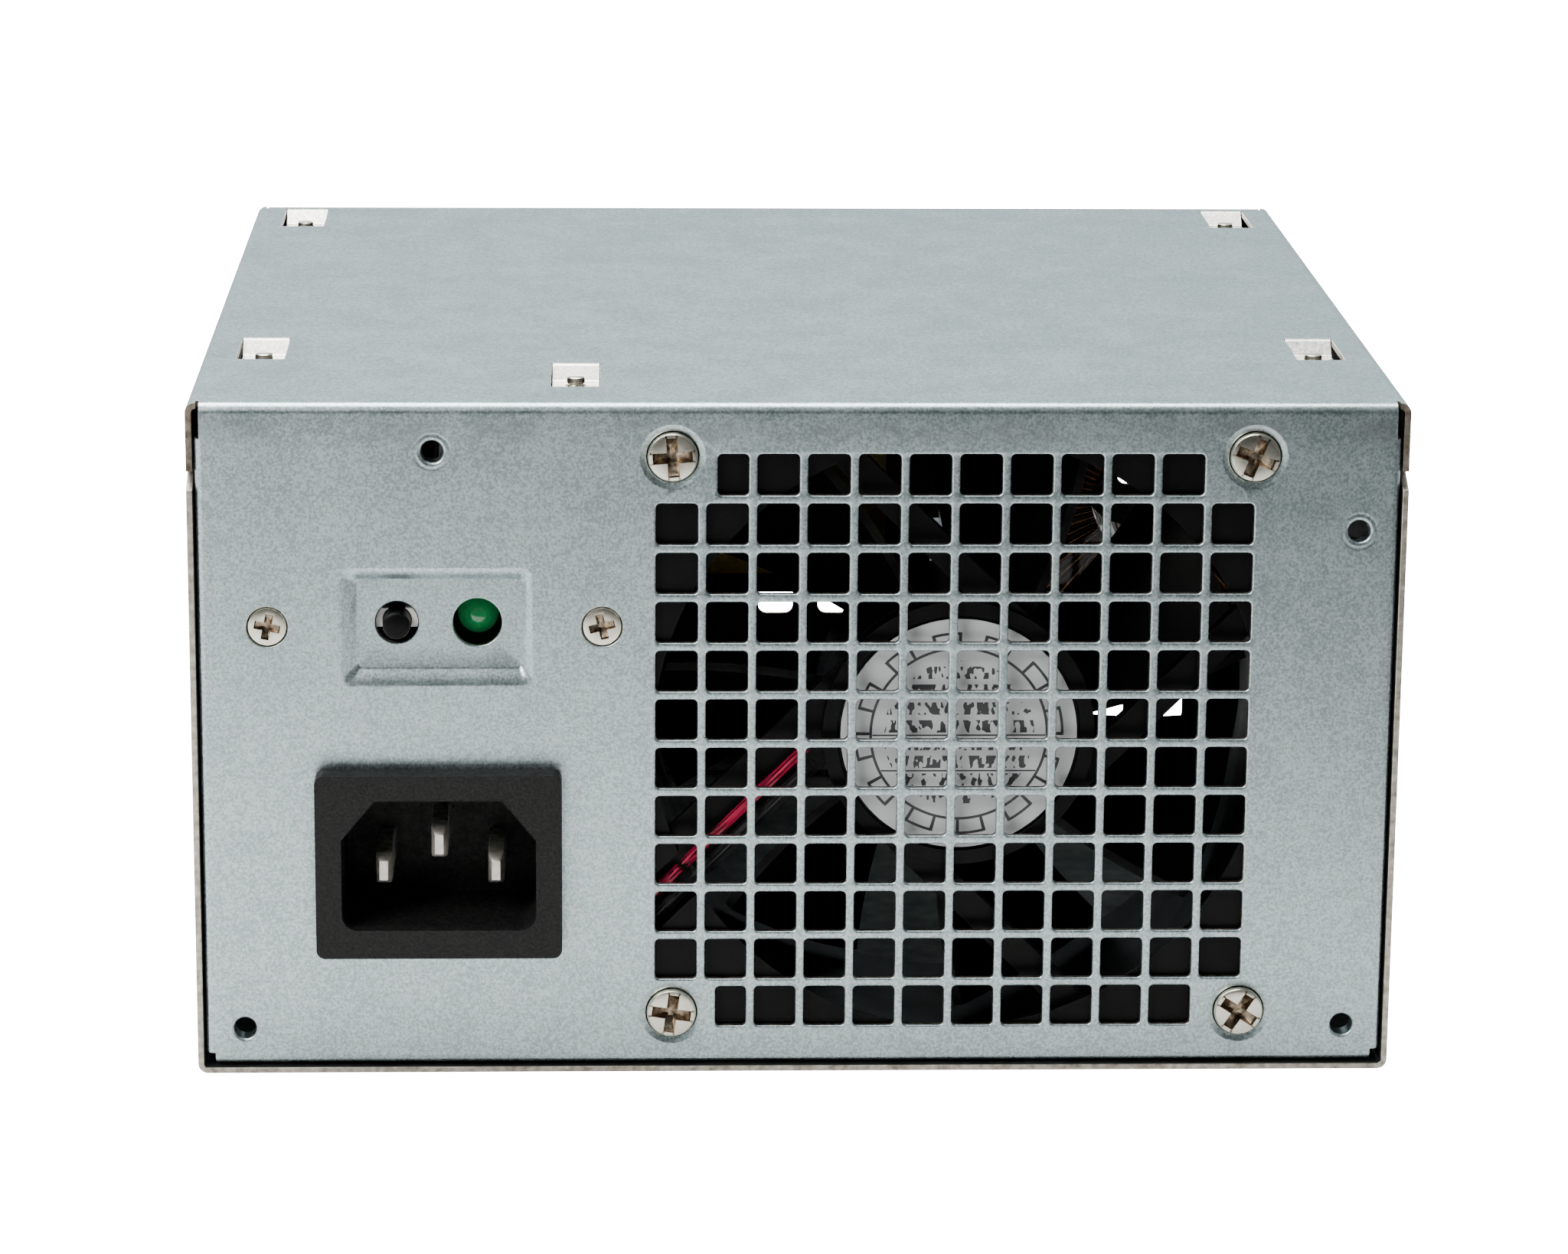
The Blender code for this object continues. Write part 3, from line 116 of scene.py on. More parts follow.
def loft(bm, rings, closed=False):
    """Skin between rings of places; the ends are capped unless the last ring joins the first."""
    rows = [[bm.verts.new(p) for p in ring] for ring in rings]
    pairs = list(zip(rows, rows[1:] + rows[:1])) if closed else list(zip(rows, rows[1:]))
    for one, two in pairs:
        for n in range(len(one)):
            bm.faces.new((one[n - 1], one[n], two[n], two[n - 1]))
    if not closed:
        bm.faces.new(rows[0])
        bm.faces.new(rows[-1])


def prism(outline, axis, low, high):
    bm = bmesh.new()
    loft(bm, [[point(axis, u, v, height) for u, v in outline] for height in (low, high)])
    return bm


def turned(profile, centre=(0.0, 0.0), axis="Z", segments=64):
    """A solid of revolution from (radius, height) pairs; a zero radius closes an end."""
    bm = bmesh.new()
    rows = []
    for radius, height in profile:
        ring = circle(*centre, radius, segments) if radius else [centre]
        rows.append([bm.verts.new(point(axis, u, v, height)) for u, v in ring])
    pairs = list(zip(rows, rows[1:]))
    if len(rows[0]) > 1:
        pairs.append((rows[-1], rows[0]))
    for one, two in pairs:
        for n in range(segments):
            corners = [one[n - 1], one[n], two[n], two[n - 1]] if len(one) > 1 and len(two) > 1 else None
            if corners is None:
                corners = [one[0], two[n], two[n - 1]] if len(one) == 1 else [one[n - 1], one[n], two[0]]
            bm.faces.new(corners)
    return bm


def plain(name, bm):
    """An undressed object with the bmesh's skin, in metres."""
    bmesh.ops.recalc_face_normals(bm, faces=bm.faces)
    bm.transform(Matrix.Scale(MM, 4))
    mesh = bpy.data.meshes.new(name)
    bm.to_mesh(mesh)
    bm.free()
    item = bpy.data.objects.new(name, mesh)
    bpy.context.scene.collection.objects.link(item)
    return item


def combine(target, operation, *tools):
    """Join or cut the target with each bmesh in turn."""
    for bm in tools:
        tool = plain("tool", bm)
        step = target.modifiers.new("combine", "BOOLEAN")
        step.operation, step.object, step.solver = operation, tool, "EXACT"
        bpy.context.view_layer.update()
        whole = target.evaluated_get(bpy.context.evaluated_depsgraph_get())
        used, target.data = target.data, bpy.data.meshes.new_from_object(whole)
        target.modifiers.clear()
        tool_mesh = tool.data
        bpy.data.objects.remove(tool)
        for mesh in (used, tool_mesh):
            bpy.data.meshes.remove(mesh)
        target.data.name = target.name


def dress(item, looks, body="case", stands_for=(), edge=0.15, edge_angle=40, smooth=35):
    """Materials, soft edges and shading for a finished piece, which then moves with its body."""
    for look in looks if isinstance(looks, (list, tuple)) else [looks]:
        item.data.materials.append(look)
    item.data.polygons.foreach_set("use_smooth", [True] * len(item.data.polygons))
    item.data.set_sharp_from_angle(angle=math.radians(smooth))
    if edge:
        soften(item, edge, edge_angle)
    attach(item, body)
    if stands_for:
        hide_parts(*stands_for)
    return item


def soften(item, width, angle=40, segments=2):
    """Rounds the item's sharp edges without changing its mesh."""
    edge = item.modifiers.new("soft_edges", "BEVEL")
    edge.limit_method, edge.angle_limit = "ANGLE", math.radians(angle)
    edge.width, edge.segments = width * MM, segments
    edge.harden_normals = False
    weight = item.modifiers.new("flat_faces_stay_flat", "WEIGHTED_NORMAL")
    weight.keep_sharp = True


# ---- folded sheet metal ------------------------------------------------------------------
def below(outline_at, steps, end=SHEET):
    """Rings of a hole whose rim rolls in: outline_at(offset) at each (offset, depth), then straight back."""
    return [(outline_at(offset), depth) for offset, depth in steps] + [(outline_at(0.0), end)]


def rolled(reach, steps=3):
    """(offset, depth) pairs of a quarter-round rim."""
    turns = [math.pi / 2 * s / steps for s in range(steps + 1)]
    return [(reach * (1 - math.sin(t)), reach * (1 - math.cos(t))) for t in turns]


class FoldedSheet:
    """Panels and bends that share corners; a corner has one place on each face of the sheet."""

    def __init__(self):
        self.places, self.index, self.faces = [], {}, []

    def corner(self, *chain):
        """chain runs from the outer face to the inner face, over the rim's own rings if there are any."""
        key = tuple(round(c, 2) for place in (chain[0], chain[-1]) for c in place)
        if key not in self.index:
            self.index[key] = len(self.places)
            self.places.append([Vector(place) for place in chain])
        elif len(chain) > len(self.places[self.index[key]]):
            self.places[self.index[key]] = [Vector(place) for place in chain]
        return self.index[key]

    def panel(self, place, outline, holes=(), level=0.0):
        """A flat panel; place(u, v, depth) gives a point that far behind the panel's outer plane."""
        loops, flat, corners = [], [], []
        for rings in [[(outline, 0.0), (outline, SHEET)], *holes]:
            first = len(flat)
            for n, uv in enumerate(rings[0][0]):
                corners.append(self.corner(*[place(*ring[n], level + depth) for ring, depth in rings]))
                flat.append(Vector(uv))
            loops.append(list(range(first, len(flat))))
        edges = [(loop[n - 1], loop[n]) for loop in loops for n in range(len(loop))]
        owner = {n: number for number, loop in enumerate(loops) for n in loop}
        _, _, triangles, origin, _, _ = delaunay_2d_cdt(flat, edges, [], 0, 1e-6)
        for triangle in triangles:
            ends = [origin[n][0] for n in triangle]
            owners = {owner[n] for n in ends}
            if len(owners) == 1 and owners != {0}:
                continue
            if owners == {0} and not inside(sum((flat[n] for n in ends), Vector((0, 0))) / 3, outline):
                continue
            self.faces.append([corners[n] for n in ends])

    def step(self, place, ring, depth, next_ring, next_depth):
        """The sloping skin between two outlines at two depths."""
        one, two = ([self.corner(place(*uv, d), place(*uv, d + SHEET)) for uv in r]
                    for r, d in ((ring, depth), (next_ring, next_depth)))
        for n in range(len(one)):
            self.faces.append([one[n - 1], one[n], two[n], two[n - 1]])

    def flat(self, centres, normal, radius):
        """A rectangle that stands off the centres along the normal by the bend's radius."""
        normal = Vector(normal)
        self.faces.append([self.corner(Vector(c) + normal * radius, Vector(c) + normal * (radius - SHEET))
                           for c in centres])

    def bend(self, start, end, normal, next_normal, radius=1.0, steps=6):
        """A right-angle bend about the line from start to end."""
        rows = []
        for s in range(steps + 1):
            t = math.pi / 2 * s / steps
            way = Vector(normal) * math.cos(t) + Vector(next_normal) * math.sin(t)
            rows.append([self.corner(Vector(c) + way * radius, Vector(c) + way * (radius - SHEET))
                         for c in (start, end)])
        for (a, b), (c, d) in zip(rows, rows[1:]):
            self.faces.append([a, b, d, c])

    def build(self):
        """Outer skin, inner skin and the walls round every free edge, as one closed bmesh."""
        bm = bmesh.new()
        chains = [[bm.verts.new(p) for p in chain] for chain in self.places]
        uses = {}
        for face in self.faces:
            bm.faces.new([chains[n][0] for n in face])
            bm.faces.new([chains[n][-1] for n in reversed(face)]).material_index = INNER
            for n in range(len(face)):
                pair = (face[n - 1], face[n])
                uses.setdefault(frozenset(pair), []).append(pair)
        for pairs in uses.values():
            if len(pairs) == 1:
                a, b = (chains[n] for n in pairs[0])
                if len(a) != len(b):
                    a, b = (a[0], a[-1]), (b[0], b[-1])
                for level in range(len(a) - 1):
                    wall = bm.faces.new((a[level], b[level], b[level + 1], a[level + 1]))
                    wall.material_index = RAW if level == len(a) - 2 else RIM
        return bm


def inside(place, outline):
    """Whether a flat place is within an outline."""
    found = False
    for (u0, v0), (u1, v1) in zip(outline, outline[1:] + outline[:1]):
        if (v0 > place.y) != (v1 > place.y) and place.x < (u1 - u0) * (place.y - v0) / (v1 - v0) + u0:
            found = not found
    return found


# ---- materials ---------------------------------------------------------------------------
class Look:
    """A node material; every picture of it comes from the place on the object."""

    def __init__(self, name, metallic=0.0, **sockets):
        self.material = bpy.data.materials.new(name)
        self.material.use_nodes = True
        self.tree = self.material.node_tree
        self.shader = self.tree.nodes["Principled BSDF"]
        self.place = self.node("ShaderNodeTexCoord").outputs["Object"]
        self.set(self.shader, **{"Metallic": metallic, **sockets})

    def node(self, kind, **settings):
        made = self.tree.nodes.new(kind)
        for key, value in settings.items():
            setattr(made, key, value)
        return made

    def set(self, node, **sockets):
        """Gives each named socket a value or a link; underscores stand for spaces."""
        for name, value in sockets.items():
            socket = node.inputs[name.replace("_", " ")]
            if isinstance(value, bpy.types.NodeSocket):
                self.tree.links.new(value, socket)
            else:
                socket.default_value = value
        return node

    def stretched(self, x, y, z):
        made = self.node("ShaderNodeMapping")
        self.set(made, Vector=self.place, Scale=(x, y, z))
        return made.outputs["Vector"]

    def noise(self, scale, detail=2.0, vector=None):
        """Smooth noise; scale is in cells per metre."""
        made = self.node("ShaderNodeTexNoise")
        self.set(made, Vector=vector or self.place, Scale=scale, Detail=detail)
        return made.outputs["Fac"]

    def cells(self, scale):
        """One random value per crystal-like cell."""
        made = self.node("ShaderNodeTexVoronoi")
        self.set(made, Vector=self.place, Scale=scale)
        parts = self.node("ShaderNodeSeparateColor")
        self.set(parts, Color=made.outputs["Color"])
        return parts.outputs["Red"]

    def math(self, operation, a, b=0.0, c=0.0):
        made = self.node("ShaderNodeMath", operation=operation)
        for socket, value in zip(made.inputs, (a, b, c)):
            if isinstance(value, bpy.types.NodeSocket):
                self.tree.links.new(value, socket)
            else:
                socket.default_value = value
        return made.outputs[0]

    def remap(self, value, low, high, to_low=0.0, to_high=1.0):
        made = self.node("ShaderNodeMapRange")
        self.set(made, Value=value, From_Min=low, From_Max=high, To_Min=to_low, To_Max=to_high)
        return made.outputs["Result"]

    def mix(self, share, a, b):
        made = self.node("ShaderNodeMix", data_type="RGBA")
        for socket, value in zip((made.inputs[0], made.inputs[6], made.inputs[7]), (share, a, b)):
            if isinstance(value, bpy.types.NodeSocket):
                self.tree.links.new(value, socket)
            else:
                socket.default_value = (*value, 1.0) if isinstance(value, tuple) else value
        return made.outputs[2]

    def axes(self):
        """The place's coordinates in millimetres."""
        parts = self.node("ShaderNodeSeparateXYZ")
        self.set(parts, Vector=self.place)
        return [self.math("MULTIPLY", parts.outputs[n], 1 / MM) for n in range(3)]

    def bump(self, height, distance, strength=1.0, under=None):
        made = self.node("ShaderNodeBump")
        self.set(made, Height=height, Distance=distance * MM, Strength=strength)
        if under is not None:
            self.set(made, Normal=under)
        return made.outputs["Normal"]


def varied(name, dark, light, roughness, metallic=0.0, scale=500.0, grain=0.0, **sockets):
    """A finish that wanders between two colours and two roughnesses, with an optional fine grain."""
    look = Look(name, metallic, **sockets)
    share = look.remap(look.noise(scale, 3.0), 0.3, 0.7)
    look.set(look.shader, Base_Color=look.mix(share, dark, light))
    look.set(look.shader, Roughness=look.remap(look.noise(scale * 0.37), 0.3, 0.7, *roughness))
    if grain:
        look.set(look.shader, Normal=look.bump(look.noise(3500.0), grain))
    return look.material


def make_steel():
    """Galvanised sheet: fine crystal mottle, faint clouds, light scuffs and a patchy painted shade under the front
    fold.
    """
    look = Look("galvanised", 1.0)
    _, y, z = look.axes()
    speck = look.remap(look.noise(3400.0, 2.0), 0.3, 0.7, -0.5, 0.5)
    crystal = look.math("SUBTRACT", look.cells(2600.0), 0.5)
    cloud = look.remap(look.noise(130.0, 4.0), 0.3, 0.7, -0.5, 0.5)
    tone = look.math("MULTIPLY_ADD", speck, 1.25, 0.5)
    tone = look.math("MULTIPLY_ADD", crystal, 0.5, tone)
    tone = look.math("MULTIPLY_ADD", cloud, 0.28, tone)
    scuff = look.noise(1.0, 2.0, look.stretched(90.0, 2600.0, 2600.0))
    tone = look.math("MULTIPLY_ADD", look.remap(scuff, 0.66, 0.74), 0.3, tone)
    colour = look.mix(tone, (0.335, 0.415, 0.43), (0.60, 0.70, 0.715))
    # A patchy darker band just below the front fold is painted shade.
    fold_shade = look.math("MULTIPLY", look.remap(z, 80.6, 82.4), look.remap(z, 84.3, 83.4))
    fold_shade = look.math("MULTIPLY", fold_shade, look.remap(y, FRONT + 0.4, FRONT + 0.2))
    fold_shade_patches = look.noise(420.0, 4.0, look.stretched(0.5, 1.0, 1.0))
    fold_shade = look.math("MULTIPLY", fold_shade, look.remap(fold_shade_patches, 0.38, 0.62))
    colour = look.mix(look.math("MULTIPLY", fold_shade, 0.45), colour, (0.30, 0.32, 0.34))
    look.set(look.shader, Base_Color=colour)
    rough = look.math("MULTIPLY_ADD", speck, 0.05, look.remap(cloud, -0.5, 0.5, 0.31, 0.37))
    look.set(look.shader, Roughness=rough)
    sway = look.bump(look.noise(28.0, 2.0), 0.03)
    look.set(look.shader, Normal=look.bump(look.noise(1700.0, 3.0), 0.006, 0.8, sway))
    return look.material


def make_label_print():
    """White label with a printed gear ring, two rules and rows of small unreadable marks."""
    look = Look("label_print", Roughness=0.45)
    x, _, z = look.axes()
    across, up = look.math("SUBTRACT", x, FAN.x), look.math("SUBTRACT", z, FAN.z)
    squares = [look.math("MULTIPLY", way, way) for way in (across, up)]
    radius = look.math("SQRT", look.math("ADD", *squares))
    wave = look.math("SINE", look.math("MULTIPLY", look.math("ARCTAN2", up, across), 12.0))

    def between(value, low, high):
        return look.math("MULTIPLY", look.math("GREATER_THAN", value, low),
                         look.math("LESS_THAN", value, high))

    tooth = look.math("GREATER_THAN", wave, 0.0)
    ink = look.math("COMPARE", radius, 11.0, 0.17)
    outer = look.math("MULTIPLY", tooth, look.math("COMPARE", radius, 12.9, 0.17))
    flank = look.math("MULTIPLY", between(radius, 11.0, 13.05), look.math("COMPARE", wave, 0.0, 0.2))
    disc = look.math("LESS_THAN", radius, 10.8)
    for mark in (outer, flank):
        ink = look.math("MAXIMUM", ink, mark)
    for height in (-4.8, -0.2):
        ink = look.math("MAXIMUM", ink, look.math("MULTIPLY", disc, look.math("COMPARE", up, height, 0.10)))
    row = look.math("COMPARE", look.math("PINGPONG", look.math("ADD", up, 42.75), 1.15), 0.4, 0.4)
    marks = look.noise(1.0, 1.0, look.stretched(1300.0, 1.0, 650.0))
    marks = look.math("MULTIPLY", row, look.math("GREATER_THAN", marks, 0.52))
    ink = look.math("MAXIMUM", ink, look.math("MULTIPLY", marks, look.math("LESS_THAN", radius, 9.4)))
    paper = look.mix(look.noise(300.0), (0.52, 0.54, 0.55), (0.60, 0.62, 0.63))
    look.set(look.shader, Base_Color=look.mix(ink, paper, (0.035, 0.035, 0.04)))
    return look.material


def make_lens():
    """Green moulded lamp body, deeper towards its base, with a painted glow that stands in for light passing through
    it.
    """
    look = Look("green_lens", Roughness=0.08, Coat_Weight=1.0, Coat_Roughness=0.03, Subsurface_Weight=0.25)
    # The emission is a painted glow that stands in for light passing through the lens.
    look.set(look.shader, Subsurface_Radius=(0.0004, 0.002, 0.0006),
             Emission_Color=(0.01, 0.16, 0.045, 1.0), Emission_Strength=0.35)
    _, y, _ = look.axes()
    depth = look.remap(y, span("status_led")[0].y, span("status_led")[0].y + 5.0)
    colour = look.mix(depth, (0.012, 0.21, 0.065), (0.002, 0.05, 0.018))
    cloud = look.remap(look.noise(700.0), 0.3, 0.7, 0.0, 0.25)
    look.set(look.shader, Base_Color=look.mix(cloud, colour, (0.03, 0.32, 0.12)))
    return look.material


def make_winding():
    """Enamelled copper turns lying side by side round the ring."""
    look = Look("copper_turns", 1.0, Roughness=0.28, Coat_Weight=0.6)
    x, _, z = look.axes()
    ring = middle("output_inductor_winding")
    turn = look.math("ARCTAN2", look.math("SUBTRACT", z, ring.z), look.math("SUBTRACT", x, ring.x))
    wires = look.math("SINE", look.math("MULTIPLY", turn, 60.0))
    shade = look.remap(wires, -1.0, 0.2)
    look.set(look.shader, Base_Color=look.mix(shade, (0.16, 0.05, 0.02), (0.74, 0.34, 0.16)))
    look.set(look.shader, Normal=look.bump(wires, 0.3))
    return look.material


STEEL = make_steel()
# The inside of the sheet and the status bracket get a much darker copy of the galvanised steel: painted shade for the
# interior.
SHADED_INNER_STEEL = varied("galvanised_inside_painted_shade", (0.075, 0.08, 0.075), (0.12, 0.125, 0.118), (0.5, 0.62), 1.0, 400.0)
RAW_EDGE = varied("raw_edge", (0.10, 0.075, 0.05), (0.36, 0.31, 0.25), (0.35, 0.55), 1.0, 900.0)
CUT_EDGE = varied("cut_edge", (0.30, 0.26, 0.21), (0.72, 0.67, 0.58), (0.35, 0.5), 1.0, 900.0)
BRIGHT_STEEL = varied("bright_steel", (0.52, 0.51, 0.48), (0.96, 0.95, 0.91), (0.30, 0.45), 1.0, 3200.0, 0.002)
NICKEL = varied("nickel_plate", (0.76, 0.72, 0.60), (0.90, 0.86, 0.74), (0.22, 0.34), 1.0, 700.0, 0.002)
# The cross recesses get a darker, browner copy of the nickel: painted shade in the recess.
SHADED_RECESS = varied("nickel_recess_painted_shade", (0.09, 0.06, 0.038), (0.52, 0.42, 0.31), (0.2, 0.35), 1.0, 1500.0)
GROUND_STEEL = varied("ground_steel", (0.34, 0.34, 0.35), (0.50, 0.50, 0.51), (0.28, 0.42), 1.0)
ALUMINIUM = varied("extruded_aluminium", (0.62, 0.63, 0.64), (0.78, 0.79, 0.80), (0.30, 0.42), 1.0)
SOCKET_BLACK = varied("moulded_black", (0.003, 0.003, 0.003), (0.013, 0.013, 0.013), (0.40, 0.60), 0.0, 2600.0,
                      0.10,
                      Specular_IOR_Level=0.22)
PIN_METAL = varied("pin_metal", (0.66, 0.62, 0.55), (0.90, 0.87, 0.81), (0.42, 0.55), 1.0, 900.0)
FAN_BLACK = varied("fan_black", (0.0015, 0.0015, 0.0017), (0.003, 0.003, 0.0034), (0.30, 0.42), 0.0, 250.0,
                   0.004,
                   Specular_IOR_Level=0.11)
SLEEVE_BLACK = varied("insulation_black", (0.004, 0.004, 0.004), (0.009, 0.009, 0.0095), (0.30, 0.42),
                      Specular_IOR_Level=0.35)
WHITE_PLASTIC = varied("moulded_white", (0.86, 0.85, 0.81), (0.94, 0.93, 0.90), (0.38, 0.5))
BOARD = varied("board", (0.19, 0.115, 0.045), (0.30, 0.20, 0.085), (0.45, 0.6), 0.0, 900.0, 0.01)
FERRITE = varied("sintered_ferrite", (0.025, 0.025, 0.028), (0.06, 0.06, 0.065), (0.45, 0.65), 0.0, 900.0, 0.02)
TAPE = varied("yellow_film_tape", (0.62, 0.42, 0.02), (0.82, 0.62, 0.06), (0.2, 0.35), 0.0, 200.0, 0.006)
BLUE_SLEEVE = varied("shrink_sleeve", (0.015, 0.045, 0.16), (0.04, 0.09, 0.27), (0.22, 0.35), 0.0, 150.0)
COPPER = varied("bare_copper", (0.48, 0.20, 0.09), (0.74, 0.36, 0.18), (0.25, 0.38), 1.0)
RED = varied("insulation_red", (0.42, 0.004, 0.045), (0.60, 0.012, 0.085), (0.22, 0.32), 0.0, 300.0)
BROWN = varied("insulation_brown", (0.12, 0.045, 0.02), (0.22, 0.09, 0.04), (0.3, 0.45))
BLUE = varied("insulation_blue", (0.02, 0.07, 0.30), (0.04, 0.12, 0.45), (0.3, 0.45))
GREEN = varied("insulation_green", (0.06, 0.26, 0.05), (0.13, 0.38, 0.10), (0.3, 0.45))
FILM = varied("polyester_film", (0.62, 0.62, 0.58), (0.76, 0.76, 0.71), (0.18, 0.3))
LABEL = make_label_print()
LENS = make_lens()
TURNS = make_winding()


# ---- case --------------------------------------------------------------------------------
BEND, SIDE_BEND = 1.3, 0.95
PANEL_SIDE, PANEL_LOW, PANEL_TOP = 73.9 - SIDE_BEND, 1.2 + BEND, TOP - BEND
FLANGE_END, FLANGE_LOW = 69.5, 77.4
FOOT_SIDE, SIDE_LOW, SIDE_TOP = PANEL_SIDE - 0.2, PANEL_LOW + 0.25, 81.6
PANEL_EDGE = [(FOOT_SIDE, PANEL_LOW), (FOOT_SIDE, SIDE_LOW), (PANEL_SIDE, SIDE_LOW), (PANEL_SIDE, SIDE_TOP),
              (73.3, SIDE_TOP), (73.3, PANEL_TOP)]
SLOT_SIDE = 73.65
DISH = (-56.5, -32.7, 50.3, 65.5)
DISH_FLOOR = (-54.4, -34.1, 52.6, 63.8)
GRILLE_COUNT, GRILLE_PITCH, GRILLE_HOLE, NARROW_HOLE = 12, 6.22, 5.15, 3.8
GRILLE_START = (FAN.x - 35.22, FAN.z + 33.51)
MOUNT_HOLES = [(-45.0, 80.0), (69.0, 70.0), (-69.0, 6.0), (69.0, 6.0)]


def mirrored(edge):
    """A closed outline from its right half."""
    return edge + [(-u, v) for u, v in reversed(edge)]


def box_outline(left, right, low, high, radius, steps=4):
    return round_rectangle((left + right) / 2, (low + high) / 2, (right - left) / 2, (high - low) / 2,
                           radius, steps)


def grille_holes():
    """Rings of every square hole; the corner places stay solid and their left neighbours are narrower."""
    last = GRILLE_COUNT - 1
    for row in range(GRILLE_COUNT):
        for column in range(GRILLE_COUNT):
            if row in (0, last) and column in (0, last):
                continue
            width = NARROW_HOLE if row in (0, last) and column == 1 else GRILLE_HOLE
            x = GRILLE_START[0] + column * GRILLE_PITCH + (GRILLE_HOLE - width) / 2
            z = GRILLE_START[1] - row * GRILLE_PITCH
            yield below(lambda o: round_rectangle(x, z, width / 2 + o, GRILLE_HOLE / 2 + o, 0.55 + o),
                        rolled(0.28))


def front_holes():
    holes = list(grille_holes())
    for x, z in MOUNT_HOLES:
        pressed = [(1.15, 0.0), (0.95, 0.035), (0.78, 0.04), (0.60, 0.015), *rolled(0.42)]
        rings = below(lambda o: circle(x, z, 1.35 + o, 32), pressed, 2.6)
        holes.append(rings + [(circle(x, z, 1.9, 32), 2.6), (circle(x, z, 1.9, 32), SHEET)])
    for number in range(1, 5):
        centre = middle(f"fan_screw_{number}")
        pressed = [(0.88, 0.0), (0.75, 0.03), (0.55, 0.09), (0.32, 0.18), (0.12, 0.24), (0.0, 0.3)]
        holes.append(below(lambda o: circle(centre.x, centre.z, 3.24 + o, 48), pressed))
    for number in (1, 2):
        centre = middle(f"bracket_screw_{number}")
        holes.append(below(lambda o: circle(centre.x, centre.z, 2.54 + o, 40), rolled(0.14)))
    cut = round_rectangle(INLET.x, INLET.z, 13.8, 10.3, 0.6)
    return holes + [[(cut, 0.0), (cut, SHEET)]]


def dish_rings(steps=7):
    """Outlines and depths from the pad's soft outer edge to its crisp floor."""
    rings = []
    for s in range(steps + 1):
        t = s / steps
        sides = [a + (b - a) * t for a, b in zip(DISH, DISH_FLOOR)]
        depth = t**1.7
        rings.append((box_outline(*sides, 1.3 - 0.8 * t, 3), depth))
    return rings


def make_chassis():
    sheet = FoldedSheet()

    def front(x, z, depth):
        return x, FRONT + depth, z

    def rear(x, z, depth):
        return x, REAR - depth, z

    def top(x, y, depth):
        return x, y, TOP - depth

    rings = dish_rings()
    dish = [(rings[0][0], 0.0), (rings[0][0], SHEET)]
    sheet.panel(front, mirrored(PANEL_EDGE), [*front_holes(), dish])
    for (ring, depth), (next_ring, next_depth) in zip(rings, rings[1:]):
        sheet.step(front, ring, depth, next_ring, next_depth)
    button = below(lambda o: circle(BUTTON.x, BUTTON.z, 2.6 + o, 40), rolled(0.22))
    lamp = below(lambda o: circle(LAMP.x, LAMP.z, 3.0 + o, 40), rolled(0.22))
    sheet.panel(front, rings[-1][0], [button, lamp], rings[-1][1])

    vents = []
    for z, half, first, count in ((59.0, 15.0, -16.0, 10), (28.5, 4.5, 2.0, 8), (9.5, 2.5, 43.5, 3)):
        for x in (first + 9.0 * column for column in range(count)):
            vents.append(below(lambda o: round_rectangle(x, z, 2.6 + o, half + o, 1.2 + o), rolled(0.25)))
    outlet = below(lambda o: circle(OUTLET.x, OUTLET.z, 15.0 + o, 72), rolled(0.2))
    sheet.panel(rear, mirrored(PANEL_EDGE), [*vents, outlet])

    inner = FRONT + BEND
    corner = [(73.3, inner), (73.3, inner + 0.6), (SLOT_SIDE, inner + 0.6), (SLOT_SIDE, -FLANGE_END),
              (HALF - BEND, -FLANGE_END)]
    right = corner + [(x, -y) for x, y in reversed(corner)]
    windows = []
    for x, near, far in WINDOWS:
        windows.append(below(
            lambda o: round_rectangle(x, (near + far) / 2, 3.05 + o, (far - near) / 2 + o, 0.35 + o, 3),
            rolled(0.15, 2)))
    sheet.panel(top, right + [(-x, y) for x, y in reversed(right)], windows)

    for facing in (-1, 1):
        plane, face = -facing * inner, (0, facing, 0)
        turn_up, turn_down = (0, 0, 1), (0, 0, -1)
        sheet.bend((-73.3, plane, PANEL_TOP), (73.3, plane, PANEL_TOP), face, turn_up, BEND)
        foot = [(-FOOT_SIDE, plane, PANEL_LOW), (FOOT_SIDE, plane, PANEL_LOW)]
        sheet.bend(*foot, face, turn_down, BEND)
        lip = [(FOOT_SIDE, facing * 60.0, PANEL_LOW), (-FOOT_SIDE, facing * 60.0, PANEL_LOW)]
        sheet.flat([*foot, *lip], turn_down, BEND)
        for side in (-1, 1):
            edge = [(side * PANEL_SIDE, -facing * (FRONT + SIDE_BEND), z) for z in (SIDE_LOW, SIDE_TOP)]
            sheet.bend(*edge, face, (side, 0, 0), SIDE_BEND)
            back = [(side * PANEL_SIDE, facing * 60.0, z) for z in (SIDE_TOP, SIDE_LOW)]
            sheet.flat([*edge, *back], (side, 0, 0), SIDE_BEND)
    for side in (-1, 1):
        x = side * (HALF - BEND)
        sheet.bend((x, -FLANGE_END, PANEL_TOP), (x, FLANGE_END, PANEL_TOP), (0, 0, 1), (side, 0, 0), BEND)
        sides = [(x, -FLANGE_END, PANEL_TOP), (x, FLANGE_END, PANEL_TOP), (x, FLANGE_END, FLANGE_LOW),
                 (x, -FLANGE_END, FLANGE_LOW)]
        sheet.flat(sides, (side, 0, 0), BEND)
    case = dress(plain("case_shell", sheet.build()), [STEEL, RAW_EDGE, SHADED_INNER_STEEL],
                 stands_for=["chassis"], edge=0.1, edge_angle=55)

    for number, (x, near, far) in enumerate(WINDOWS, 1):
        tab = tab_profile(near + 0.5, far)
        strip = bmesh.new()
        loft(strip, [[(x + side * 2.95, y, z) for y, z in tab] for side in (-1, 1)])
        lug = plain(f"tray_tab_{number}", strip)
        screw = middle(f"board_screw_{number}")
        combine(lug, "DIFFERENCE", prism(circle(screw.x, screw.y, 1.3, 32), "Z", TOP - 5.0, TOP - 1.0))
        dress(lug, BRIGHT_STEEL, edge=0.12)
    return case


